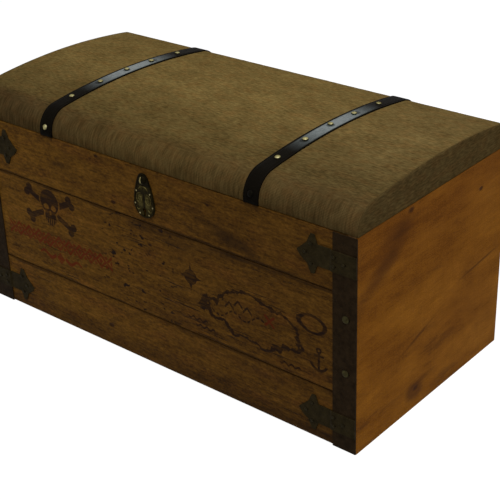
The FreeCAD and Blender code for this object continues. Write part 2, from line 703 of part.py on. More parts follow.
HEM_FOOT = f"({LID_FOOT} - cloth)"
HEM_Y = f"({HALF_DEPTH} - cloth_hem)"
cover = new_body("cloth_cover")
cover_outline = ([(f"-{HEM_Y}", HEM_FOOT)] + arch("0", HEM_FOOT) + [(HEM_Y, HEM_FOOT), (HEM_Y, LID_FOOT)]
                 + backwards(arch("cloth", LID_FOOT)) + [(f"-{HEM_Y}", LID_FOOT)])
pad(cover, "YZ_Plane", [cover_outline], "chest_width", middle=True)
for word, side in SIDES.items():
    end_cloth = new_body(f"cloth_end_{word}")
    face = arch("cloth", LID_FOOT) + [(HEM_Y, LID_FOOT), (HEM_Y, HEM_FOOT), (f"-{HEM_Y}", HEM_FOOT),
                                      (f"-{HEM_Y}", LID_FOOT)]
    pad(end_cloth, "YZ_Plane", [face], "cloth", middle=True, lift=f"{side} * ({HALF_WIDTH} - cloth / 2)")
    pad(end_cloth, "XY_Plane",
        [rectangle(f"{side} * ({HALF_WIDTH} - cloth_hem)", f"-{HEM_Y}", f"{side} * ({HALF_WIDTH} - cloth)",
                   HEM_Y)], "cloth", lift=HEM_FOOT)

# Straps over the lid, each with a row of dome-head nails

STRAP_RADIUS = f"({DOME_RADIUS} + strap_thickness)"
STRAP_X = "strap_share * chest_width"
strap_nails = []
for word, side in SIDES.items():
    strap = new_body(f"lid_strap_{word}")
    pad(strap, "YZ_Plane", [arch("(-strap_thickness)", HEM_FOOT) + backwards(arch("0", HEM_FOOT))],
        "strap_width", middle=True, lift=f"{side} * {STRAP_X}")
    for step in (-2, -1, 0, 1, 2):
        lean = value(f"({step} * stud_pitch - stud_lead) / {DOME_RADIUS}")
        strap_nails.append(((f"{side} * {STRAP_X}", f"{STRAP_RADIUS} * {math.sin(lean)}",
                             f"{DOME_CENTRE} + {STRAP_RADIUS} * {math.cos(lean)}"),
                            (0, math.sin(lean), math.cos(lean))))
    for edge_side in (-1, 1):
        rise = value(f"(chest_height + stud_drop - {SHOULDER_Z}) / (shoulder_radius + strap_thickness)")
        reach = math.sqrt(1 - rise ** 2)
        strap_nails.append(((f"{side} * {STRAP_X}",
                             f"{edge_side} * ({SHOULDER_Y} + (shoulder_radius + strap_thickness) * {reach})",
                             "chest_height + stud_drop"), (0, edge_side * reach, rise)))
strap_nail = dome_fastener("strap_nail", "stud_head", "stud_crown", "stud_shank", "stud_length")
scatter("strap_nails", strap_nail, strap_nails)

# Butt hinges let into the back plank and the back rail, their knuckles just clear of the back

AXIS_Y = f"({HALF_DEPTH} + axis_clearance + knuckle_radius)"
AXIS_Z = "(chest_height + lid_gap / 2)"
LEAF_FACE = "leaf_gap / 2"
LEAF_BACK = "(leaf_gap / 2 + leaf_thickness)"
LEAF_RECESS = f"({LEAF_BACK} - lid_gap / 2)"
COUNTERSINK = "(screw_head - screw_shank)"


def hinge_screw_spots(centre):
    """The x and y of a leaf's screws."""
    y = f"{HALF_DEPTH} - (leaf_reach - axis_clearance - knuckle_radius) / 2"
    return [(f"{centre} + {step} * screw_spread", y) for step in (-1, 0, 1)]


def hinge_leaf(label, centre, way, knuckles):
    """A leaf with its share of the knuckles; way is -1 for the leaf on the box and 1 for the lid's."""
    def at(y, z):
        return f"{AXIS_Y} + {y}", f"{AXIS_Z} + {way} * ({z})"

    def on_barrel(z):
        return f"-sqrt(knuckle_radius ^ 2 - ({z}) ^ 2)"

    barrel = ("knuckle_radius", -way)
    section = [at("-leaf_reach", LEAF_FACE), at("-leaf_reach", LEAF_BACK),
               at(on_barrel(LEAF_BACK), LEAF_BACK) + barrel, at("0", "knuckle_radius") + barrel,
               at("knuckle_radius", "0") + barrel, at("0", "-knuckle_radius") + barrel,
               at(on_barrel(LEAF_FACE), LEAF_FACE)]
    leaf = new_body(label)
    pad(leaf, "YZ_Plane", [section], "hinge_length", middle=True, lift=centre,
        circles=[(AXIS_Y, AXIS_Z, "hinge_pin + pin_clearance")])
    gaps = []
    for knuckle in range(KNUCKLE_COUNT):
        if knuckle not in knuckles:
            start = f"{centre} + hinge_length * ({knuckle} / {KNUCKLE_COUNT} - 1 / 2) - knuckle_gap / 2"
            end = f"{centre} + hinge_length * ({knuckle + 1} / {KNUCKLE_COUNT} - 1 / 2) + knuckle_gap / 2"
            gaps.append(rectangle(start, f"{AXIS_Y} - knuckle_radius - axis_clearance", end,
                                  f"{AXIS_Y} + knuckle_radius + overrun"))
    pocket(leaf, "XY_Plane", gaps)
    spots = hinge_screw_spots(centre)
    pocket(leaf, "XY_Plane", [], circles=[(x, y, "screw_shank + pin_clearance") for x, y in spots])
    pocket(leaf, "XY_Plane", [], COUNTERSINK, reverse=way > 0, taper="-countersink_angle",
           circles=[(x, y, "screw_head + pin_clearance") for x, y in spots],
           lift=f"{AXIS_Z} + {way} * {LEAF_FACE}")


LEAF_EDGE = f"({AXIS_Y} - leaf_reach - recess_clearance)"
box_screws = []
lid_screws = []
plank_recesses = []
rail_recesses = []
hem_notches = []
for word, side in SIDES.items():
    centre = f"{side} * hinge_share * chest_width"
    hinge_leaf(f"hinge_leaf_box_{word}", centre, -1, (0, 2, 4))
    hinge_leaf(f"hinge_leaf_lid_{word}", centre, 1, (1, 3))
    hinge_pin = new_body(f"hinge_pin_{word}")
    end = "(hinge_length / 2)"
    tip = f"({end} + pin_tip)"
    revolve(hinge_pin, [(f"-{tip}", "0"), (f"-{tip}", "hinge_pin"), (f"-{end}", "pin_button"),
                        (f"-{end}", "hinge_pin"), (end, "hinge_pin"), (end, "pin_button"),
                        (tip, "hinge_pin"), (tip, "0")], plane="XY_Plane", axis="H_Axis")
    bind(hinge_pin, "Placement.Base.x", centre)
    bind(hinge_pin, "Placement.Base.y", AXIS_Y)
    bind(hinge_pin, "Placement.Base.z", AXIS_Z)
    for x, y in hinge_screw_spots(centre):
        box_screws.append(((x, y, f"{AXIS_Z} - {LEAF_FACE}"), (0, 0, 1)))
        lid_screws.append(((x, y, f"{AXIS_Z} + {LEAF_FACE}"), (0, 0, -1)))
    low_x = f"{centre} - hinge_length / 2 - recess_clearance"
    high_x = f"{centre} + hinge_length / 2 + recess_clearance"
    plank_recesses.append(rectangle(low_x, f"chest_height - {LEAF_RECESS}", high_x, "chest_height + overrun"))
    rail_recesses.append(rectangle(low_x, LEAF_EDGE, high_x, f"{HALF_DEPTH} + overrun"))
    hem_notches.append(rectangle(low_x, f"{HEM_FOOT} - overrun", high_x,
                                 f"{AXIS_Z} + {LEAF_BACK} + recess_clearance"))
pocket(planks["back", "top"], "XZ_Plane", plank_recesses)
pocket(rails["back"], "XY_Plane", rail_recesses, LEAF_RECESS, lift=LID_FOOT, reverse=True)
pocket(cover, "XZ_Plane", hem_notches, "chest_depth")

flat_screw = new_body("flat_screw", is_node=False)
revolve(flat_screw, [("0", "0"), ("0", "-screw_length"), ("screw_shank", "-(screw_length - screw_shank)"),
                     ("screw_shank", f"-{COUNTERSINK}"), ("screw_head", "0")])
scatter("hinge_screws_box", flat_screw, box_screws)
scatter("hinge_screws_lid", flat_screw, lid_screws)

# Strike plate let into the front rail, with a staple over each finger of the bolt

strike = new_body("strike_plate")
STRIKE_SCREW_X = "(strike_length / 2 - strike_screw_inset)"
strike_holes = [(f"{side} * {STRIKE_SCREW_X}", f"-{BOLT_PLANE}", "screw_shank + nail_hole_clearance")
                for side in SIDES.values()]
pad(strike, "XY_Plane",
    [rectangle("-strike_length / 2", f"-{BOLT_PLANE} - strike_width / 2", "strike_length / 2",
               f"-{BOLT_PLANE} + strike_width / 2")],
    "strike_thickness", circles=strike_holes, lift=STAPLE_TOP)
STAPLE_LOW = f"({STAPLE_TOP} - staple_drop)"
EYE_HALF = "(staple_width / 2 - staple_leg)"
staple = rectangle(f"-{BOLT_PLANE} - staple_width / 2", STAPLE_LOW, f"-{BOLT_PLANE} + staple_width / 2",
                   f"{STAPLE_TOP} + strike_thickness / 2")
eye = rectangle(f"-{BOLT_PLANE} - {EYE_HALF}", f"{STAPLE_LOW} + staple_foot", f"-{BOLT_PLANE} + {EYE_HALF}",
                f"{STAPLE_LOW} + staple_foot + eye_height")
for side in SIDES.values():
    pad(strike, "YZ_Plane", [staple, eye], "staple_thickness", middle=True, lift=f"{side} * {STAPLE_X}")
pocket(rails["front"], "XY_Plane",
       [rectangle("-strike_length / 2 - recess_clearance",
                  f"-{BOLT_PLANE} - strike_width / 2 - recess_clearance",
                  "strike_length / 2 + recess_clearance",
                  f"-{BOLT_PLANE} + strike_width / 2 + recess_clearance")],
       "strike_recess", lift=LID_FOOT, reverse=True)
scatter("strike_screws", round_screw, [((x, y, STAPLE_TOP), (0, 0, -1)) for x, y, _ in strike_holes])

# Lid stay: the arm turns on the lid's pivot and its slot runs on the box's stud. Both lie at one distance
# from the hinge axis, so the arm turns at half the lid's angle and the slot's end stops the lid

PIVOT_ANGLE = "asin(pivot_rise / stay_radius)"
STUD_ANGLE = "(stud_angle * 1 deg)"
OPEN_ANGLE = "(lid_open_angle * 1 deg)"
PIVOT_Y = f"({AXIS_Y} - stay_radius * cos({PIVOT_ANGLE}))"
PIVOT_Z = f"({AXIS_Z} + pivot_rise)"
STUD_Y = f"({AXIS_Y} - stay_radius * cos({STUD_ANGLE}))"
STUD_Z = f"({AXIS_Z} - stay_radius * sin({STUD_ANGLE}))"
SHUT_REACH = f"(2 * stay_radius * sin(({PIVOT_ANGLE} + {STUD_ANGLE}) / 2))"
OPEN_REACH = f"(2 * stay_radius * sin(({PIVOT_ANGLE} + {STUD_ANGLE} + {OPEN_ANGLE}) / 2))"
BOX_WALL = f"(-({HALF_WIDTH} - wall))"
LID_WALL = f"(-({HALF_WIDTH} - cloth - gable_thickness))"
ARM_FACE = f"({BOX_WALL} + arm_set)"
SLOT_HALF = "(stay_stud + slide_clearance)"


def stay_plate(label, wall_x, y, z, shaft, along_y, along_z):
    """A screwed plate with a shouldered and headed stud that carries the arm; returns its screws' places."""
    plate = new_body(label)
    screws = [(f"{y} + {way} * stay_screw_spread * {along_y}", f"{z} + {way} * stay_screw_spread * {along_z}")
              for way in (-1, 1)]
    half_y = f"(stay_plate_width / 2 + {along_y} * (stay_plate_length - stay_plate_width) / 2)"
    half_z = f"(stay_plate_width / 2 + {along_z} * (stay_plate_length - stay_plate_width) / 2)"
    outline = rectangle(f"{y} - {half_y}", f"{z} - {half_z}", f"{y} + {half_y}", f"{z} + {half_z}")
    pad(plate, "YZ_Plane", [outline], "stay_plate_thickness", lift=wall_x,
        circles=[(u, v, "screw_shank + nail_hole_clearance") for u, v in screws])
    plate_face = f"({wall_x} + stay_plate_thickness)"
    pad(plate, "YZ_Plane", [], f"{ARM_FACE} - slide_clearance - {plate_face}",
        circles=[(y, z, "stay_head")], lift=plate_face)
    pad(plate, "YZ_Plane", [], "arm_thickness + 2 * slide_clearance", circles=[(y, z, shaft)],
        lift=f"{ARM_FACE} - slide_clearance")
    pad(plate, "YZ_Plane", [], "stay_head_thickness", circles=[(y, z, "stay_head")],
        lift=f"{ARM_FACE} + arm_thickness + slide_clearance")
    return [((plate_face, u, v), (1, 0, 0)) for u, v in screws]


scatter("stay_screws_box", round_screw,
        stay_plate("stay_stud_plate", BOX_WALL, STUD_Y, STUD_Z, "stay_stud", 0, 1))
scatter("stay_screws_lid", round_screw,
        stay_plate("stay_pivot_plate", LID_WALL, PIVOT_Y, PIVOT_Z, "stay_pivot", 1, 0))

ARM_TAIL = f"({OPEN_REACH} + arm_width / 2)"
SLOT_START = f"({SHUT_REACH} - slot_spare)"
stay_arm = new_body("stay_arm")


def upright_slot(low, high, radius):
    """A round-ended upright shape on the arm's own line, by the centres of its ends."""
    return [(f"-{radius}", high), (f"-{radius}", low, radius, 1), ("0", f"{low} - {radius}", radius, 1),
            (radius, low), (radius, high, radius, 1), ("0", f"{high} + {radius}", radius, 1)]


pad(stay_arm, "YZ_Plane",
    [upright_slot(f"-{ARM_TAIL}", "0", "arm_width / 2"),
     upright_slot(f"-{OPEN_REACH}", f"-{SLOT_START}", SLOT_HALF)],
    "arm_thickness", circles=[("0", "0", "stay_pivot + pin_clearance")], lift=ARM_FACE)
stay_arm.Placement = FreeCAD.Placement(FreeCAD.Vector(), FreeCAD.Rotation(FreeCAD.Vector(1, 0, 0), 1))
bind(stay_arm, "Placement.Rotation.Angle", f"({STUD_ANGLE} - {PIVOT_ANGLE}) / 2")
bind(stay_arm, "Placement.Base.y", PIVOT_Y)
bind(stay_arm, "Placement.Base.z", PIVOT_Z)
doc.recompute()

# Every object has to be sound before any file is written

for thing in doc.Objects:
    if "Invalid" in thing.State or "Error" in thing.State:
        raise RuntimeError(f"{thing.Label} failed: {thing.State}")
for node in nodes:
    if node.Shape.isNull() or not node.Shape.isValid() or not node.Shape.Solids:
        raise RuntimeError(f"{node.Label} is not a sound solid")
os.makedirs("parts", exist_ok=True)
for node in nodes:
    node.Shape.exportStep(os.path.join("parts", f"{node.Label}.step"))
print(len(nodes), "nodes written")
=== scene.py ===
import math
from types import SimpleNamespace

import bmesh
import bpy
import numpy as np
from mathutils import Matrix, Vector


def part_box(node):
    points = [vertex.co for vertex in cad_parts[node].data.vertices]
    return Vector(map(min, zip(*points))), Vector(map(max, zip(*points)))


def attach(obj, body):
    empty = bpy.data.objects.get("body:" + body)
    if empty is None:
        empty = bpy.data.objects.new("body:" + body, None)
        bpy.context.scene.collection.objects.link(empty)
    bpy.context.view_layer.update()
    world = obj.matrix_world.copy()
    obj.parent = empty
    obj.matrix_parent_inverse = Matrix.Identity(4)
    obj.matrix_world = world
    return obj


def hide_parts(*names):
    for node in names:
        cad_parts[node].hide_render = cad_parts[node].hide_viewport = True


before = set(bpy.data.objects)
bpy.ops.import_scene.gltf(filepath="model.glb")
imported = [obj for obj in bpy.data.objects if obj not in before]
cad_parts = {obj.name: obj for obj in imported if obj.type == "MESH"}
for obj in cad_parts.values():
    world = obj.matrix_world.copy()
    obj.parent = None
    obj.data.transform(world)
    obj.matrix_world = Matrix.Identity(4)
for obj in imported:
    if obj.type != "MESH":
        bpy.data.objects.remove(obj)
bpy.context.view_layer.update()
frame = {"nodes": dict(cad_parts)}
nodes = frame["nodes"]

# Bottom board and corner posts: sawn pine, left raw, glued and screwed inside the planks.
# They show only with the lid open, so they are dull and a little dusty.

RING_SPACING = 0.0062


def both_ways(kind):
    """An operator and its reflected form, each of which adds a Math node."""
    def forward(self, other):
        return self.nodes.add("Math", {"operation": kind}, [self, other])

    def reflected(self, other):
        return self.nodes.add("Math", {"operation": kind}, [other, self])

    return forward, reflected


class Wire:
    """A value that varies over a surface. Sums on it add Math nodes to its tree."""

    def __init__(self, nodes, socket):
        self.nodes = nodes
        self.socket = socket

    __add__, __radd__ = both_ways("ADD")
    __sub__, __rsub__ = both_ways("SUBTRACT")
    __mul__, __rmul__ = both_ways("MULTIPLY")
    __truediv__, __rtruediv__ = both_ways("DIVIDE")
    __pow__, __rpow__ = both_ways("POWER")
    __mod__, __rmod__ = both_ways("FLOORED_MODULO")

    def __abs__(self):
        return self.nodes.add("Math", {"operation": "ABSOLUTE"}, [self])


class Nodes:
    """A tree of nodes, and one method that adds any node to it."""

    def __init__(self, tree):
        self.tree = tree

    def feed(self, node, sockets):
        for key, value in sockets.items() if isinstance(sockets, dict) else enumerate(sockets):
            if isinstance(value, Wire):
                self.tree.links.new(value.socket, node.inputs[key])
            else:
                node.inputs[key].default_value = value

    def add(self, kind, settings, sockets, output=0):
        node = self.tree.nodes.new(kind if "Node" in kind else "ShaderNode" + kind)
        for key, value in settings.items():
            if key == "stops":
                ends = node.color_ramp.elements
                ends[0].position, ends[0].color = value[0]
                ends[1].position, ends[1].color = value[-1]
                for place, colour in value[1:-1]:
                    ends.new(place).color = colour
            else:
                setattr(node, key, value)
        self.feed(node, sockets)
        return Wire(self, node.outputs[output])

    def split(self, vector):
        parts = self.add("SeparateXYZ", {}, [vector]).socket.node.outputs
        return [Wire(self, part) for part in parts]

    def point(self, x, y, z=0.0):
        return self.add("CombineXYZ", {}, [x, y, z])

    def picked(self, kind, values):
        found = values[0]
        for value in values[1:]:
            found = self.add("Math", {"operation": kind}, [found, value])
        return found

    def least(self, *values):
        return self.picked("MINIMUM", values)

    def most(self, *values):
        return self.picked("MAXIMUM", values)


class Finish(Nodes):
    """A material, or the world, with one shader."""

    def __init__(self, name, fixed, owner=None, shader="Principled BSDF"):
        self.material = owner or bpy.data.materials.new(name)
        self.material.use_nodes = True
        super().__init__(self.material.node_tree)
        self.shader = self.tree.nodes[shader]
        self.feed(self.shader, fixed)

    def object_place(self):
        return self.add("TexCoord", {}, [], output=3)

    def sheet_place(self):
        """The place across and along a piece, in metres, from its own UV map."""
        return self.split(self.add("TexCoord", {}, [], output=2))[:2]

    def noise(self, place, waves, detail=2.0, rough=0.5):
        """Noise with so many waves in a metre, one number for every direction or one for each."""
        scales = waves if isinstance(waves, tuple) else (waves,) * 3
        scaled = self.add("VectorMath", {"operation": "MULTIPLY"}, [place, scales])
        sockets = {"Vector": scaled, "Scale": 1.0, "Detail": detail, "Roughness": rough}
        return self.add("TexNoise", {}, sockets)

    def fade(self, value, low, high):
        """0 up to low, 1 from high on, or the other way round where low is the larger."""
        return self.add("MapRange", {"interpolation_type": "SMOOTHSTEP"}, [value, low, high])

    def sine(self, value):
        return self.add("Math", {"operation": "SINE"}, [value])

    def mix(self, share, first, second, way="MIX"):
        settings = {"data_type": "RGBA", "blend_type": way}
        return self.add("Mix", settings, {0: share, 6: first, 7: second}, output=2)

    def tint(self, share, colour, glaze):
        """The colour under a glaze, given as the shares of red, green and blue that it lets through."""
        return self.mix(share, colour, (*glaze, 1.0), "MULTIPLY")

    def ramp(self, value, stops):
        return self.add("ValToRGB", {"stops": stops}, [value])

    def surface(self, colour, rough, height, depth, **more):
        bump = self.add("Bump", {}, {"Strength": 1.0, "Distance": depth, "Height": height})
        self.feed(self.shader, {"Base Color": colour, "Roughness": rough, "Normal": bump, **more})


def shade(red, green, blue):
    """A colour as it looks on a screen, in the linear values that a shader takes."""
    linear = [((part / 255 + 0.055) / 1.055) ** 2.4 for part in (red, green, blue)]
    return (*linear, 1.0)


def coat(finish, *names):
    for name in names:
        nodes[name].data.materials.clear()
        nodes[name].data.materials.append(finish.material)


def named(*starts):
    return [name for name in nodes if name.startswith(starts)]


def grain(finish, lie, seed, pith, knots=()):
    """A board's rings, fibres, blotches and knots; lie names the axes along, across and through it."""
    spot = dict(zip("xyz", finish.split(finish.object_place())))
    along, across, through = [spot[axis] for axis in lie]
    board = finish.point(along + seed, across, through)

    def figure(waves_along, waves_across, detail=2.0, rough=0.5):
        return finish.noise(board, (waves_along, waves_across, waves_across), detail, rough)

    wander = figure(1.5, 3.0, 1.0) - 0.5
    ripple = figure(9.0, 30.0) - 0.5
    sideways = across - pith[0] + wander * 0.14
    depth = through - pith[1]
    radius = (sideways * sideways + depth * depth) ** 0.5 + ripple * 0.008
    dark = 0.0
    for knot_along, knot_across, size in knots:
        near_along = (along - knot_along) * 0.6
        near_across = across - knot_across
        gap = (near_along * near_along + near_across * near_across) ** 0.5
        reach = gap / (2.4 * size)
        radius = radius + math.e ** (0 - reach * reach) * (0.9 * size)
        dark = finish.most(finish.fade(gap + ripple * (0.9 * size), 1.1 * size, 0.35 * size), dark)
    wave = finish.sine(radius * (2 * math.pi / RING_SPACING)) * 0.5 + 0.5
    return SimpleNamespace(
        along=along, across=across, through=through, figure=figure,
        rings=wave * wave,
        fibres=figure(22.0, 480.0, 3.0, 0.6),
        blotch=figure(4.0, 11.0, 3.0),
        knots=dark)


def raw_timber(name, lie, seed, pith=(0.01, 0.07), pale=0.0, seams=()):
    """Bare sawn pine, lighter by pale, with a dark seam at each of these places across it."""
    finish = Finish(name, {"Specular IOR Level": 0.12})
    cut = grain(finish, lie, seed, pith)
    flecks = finish.fade(cut.figure(38.0, 330.0), 0.62, 0.72)
    tone = cut.rings * 0.26 + cut.fibres * 0.5 + cut.blotch * 0.45 - flecks * 0.2 + (0.02 + pale)
    colour = finish.ramp(tone, [(0.25, shade(70, 47, 24)), (0.55, shade(112, 80, 45)),
                                (0.85, shade(142, 108, 66))])
    for seam in seams:
        gap = finish.fade(abs(cut.across - seam), 0.0026, 0.0006)
        colour = finish.mix(gap * 0.8, colour, shade(34, 22, 11))
    finish.surface(colour, 0.75 - cut.rings * 0.1, cut.fibres + cut.rings * 0.4, 0.0006)
    return finish


coat(raw_timber("raw_bottom_board", "xyz", 3.1), "bottom_board")
coat(raw_timber("raw_posts", "zxy", 5.7), *named("corner_post"))

# Front and back planks: wide pine boards between the ends, stained and waxed on the outside, with
# eased edges that hold dirt along the joints. The middle ones are the most weathered.

HALF_DEPTH = 0.225
WAX_DEPTH = 0.0015
PLANK_LEVELS = {"bottom": (0.0, 0.106), "middle": (0.106, 0.294), "top": (0.294, 0.400)}
FRONT_KNOTS = {"top": [(-0.116, 0.392, 0.004), (-0.081, 0.312, 0.0045), (0.146, 0.370, 0.003)],
               "middle": [(0.032, 0.288, 0.005), (0.004, 0.252, 0.004)],
               "bottom": [(-0.116, 0.045, 0.005)]}
FRONT_STAINS = {"top": [(0.205, 0.316, 0.060, 0.014, -0.25), (-0.215, 0.349, 0.035, 0.008, 0.0)],
                "middle": [(-0.022, 0.284, 0.050, 0.009, 0.0), (0.190, 0.289, 0.070, 0.005, 0.0)],
                "bottom": [(0.420, 0.012, 0.120, 0.012, 0.0)]}


def stained(finish, cut, colour, marks, dark):
    """Soft dark marks, each with its place along and across the board, its half sizes and its slope."""
    for along, across, long, high, slope in marks:
        run = cut.along - along
        rise = cut.across - across - run * slope
        gap = (run * run / long ** 2 + rise * rise / high ** 2) ** 0.5
        colour = finish.mix(finish.fade(gap + (cut.blotch - 0.5) * 2.4, 1.25, 0.2) * 0.6, colour, dark)
    return colour


def bare_within(finish, colour, tone, depth):
    """Bare wood where the wax doesn't reach, which is all but the board's outer skin."""
    bare = finish.ramp(tone, [(0.2, shade(62, 42, 22)), (0.8, shade(128, 96, 58))])
    return finish.mix(finish.fade(depth, WAX_DEPTH, 3 * WAX_DEPTH), colour, bare)


def plank_finish(name, level, seed, face, knots, weather, marks=(), worms=False, picture=None):
    """Waxed pine; face is -1 on the front and 1 on the back, picture adds what is painted on it."""
    finish = Finish(name, {"Specular IOR Level": 0.03})
    low, high = PLANK_LEVELS[level]
    cut = grain(finish, "xzy", seed, ((low + high) / 2 + 0.02, -face * 0.13), knots)
    streaks = cut.figure(13.0, 110.0, 4.0, 0.65)
    dust = cut.figure(150.0, 260.0, 3.0, 0.6)
    mottle = cut.figure(26.0, 40.0, 4.0, 0.65)
    ticks = cut.figure(48.0, 210.0, 3.0, 0.65)
    tone = (cut.rings * 0.1 + cut.fibres * 0.4 + streaks * 0.35 + cut.blotch * 0.4 + mottle * 0.4
            + dust * 0.9 + ticks * 0.6) - 1.08
    colour = finish.ramp(tone, [(0.15, shade(55, 34, 9)), (0.4, shade(86, 57, 16)),
                                (0.62, shade(107, 73, 22)), (0.9, shade(131, 90, 33))])
    cracks = finish.fade(cut.figure(24.0, 420.0, 3.0, 0.6), 0.66 - 0.06 * weather, 0.74)
    stain = finish.fade(cut.figure(5.0, 30.0, 4.0, 0.65), 0.5, 0.78)
    patchy = finish.fade(cut.figure(5.0, 9.0, 1.0), 0.46, 0.6)
    splits = finish.fade(cut.figure(8.0, 260.0), 0.655 - 0.035 * weather, 0.70) * patchy
    ruddy = finish.fade(cut.figure(11.0, 30.0, 3.0, 0.6), 0.48, 0.7)
    colour = finish.tint(ruddy * 0.45, colour, (1.06, 0.9, 1.25))
    for share, dark in ((cracks * (0.4 + 0.35 * weather), shade(30, 17, 6)),
                        (stain * (0.2 + 0.25 * weather), shade(44, 28, 12)),
                        (splits * (0.35 + 0.5 * weather), shade(26, 14, 6)),
                        (cut.knots * 0.85, shade(34, 16, 6))):
        colour = finish.mix(share, colour, dark)
    colour = stained(finish, cut, colour, marks, shade(36, 22, 9))
    if worms:
        holes = finish.fade(cut.figure(75.0, 105.0, 1.0), 0.645, 0.72)
        near_middle = finish.fade(abs(cut.along + 0.03), 0.13, 0.06)
        colour = finish.mix(holes * near_middle, colour, shade(26, 14, 6))
    if picture:
        colour = picture(finish, cut, colour)
    # Each board darkens towards its right and its top, as seen from outside.
    to_upper_right = cut.along * (-face * 0.8) + (cut.across - 0.2) * 0.3
    upper_right_darkening = finish.fade(to_upper_right + (cut.blotch - 0.5) * 0.3, -0.36, 0.25)
    colour = finish.tint(upper_right_darkening * 0.66, colour, (0.55, 0.53, 0.62))
    # Painted shade: the bottom plank darkens over its lowest few centimetres, towards the floor.
    foot = finish.fade(cut.across + (streaks - 0.5) * 0.03, 0.05, 0.0)
    colour = finish.tint(foot, colour, (0.6, 0.58, 0.6))
    from_joint = finish.least(*[abs(cut.across - joint) for joint in PLANK_LEVELS["middle"]])
    grime = finish.fade(from_joint + (streaks - 0.5) * 0.004 - patchy * 0.003, 0.0042, 0.0004)
    colour = finish.mix(grime * 0.62, colour, shade(22, 12, 5))
    colour = bare_within(finish, colour, tone, HALF_DEPTH - cut.through * face)
    height = cut.fibres * 0.5 + cut.rings * 0.25 - cracks * 0.8 - splits - cut.knots * 0.4
    finish.surface(colour, 0.72 - streaks * 0.2 + cracks * 0.15, height, 0.0007)
    return finish


# The middle front plank carries old brushwork: a skull over crossed bones, a red flourish below it, and
# an island chart with a route, a compass star and an anchor. The paint is thin, and worn along the grain.
# It is drawn in millimetres, each figure round its own middle.

SKULL_AT, BAND_AT, CHART_AT, CROSS_AT = (-258, 250), (-242, 150), (235, 181), (273, 192)
BONE, BONE_END, BONE_ENDS_AT = 5.8, 8, ((54, 31), (62, 19), (54, -37), (62, -25))
BAND_STEP, BAND_HALF, WAVE_HALF = 28.4, 143, 58
STAR_AT, ISLET_AT, ANCHOR_AT = (-137, 38), (126, 38), (140, -28)
PEAKS_AT = ((-30, 26), (-10, 20), (-50, 18))
WAVES_AT = ((-124, -42), (-108, -54), (80, -58))


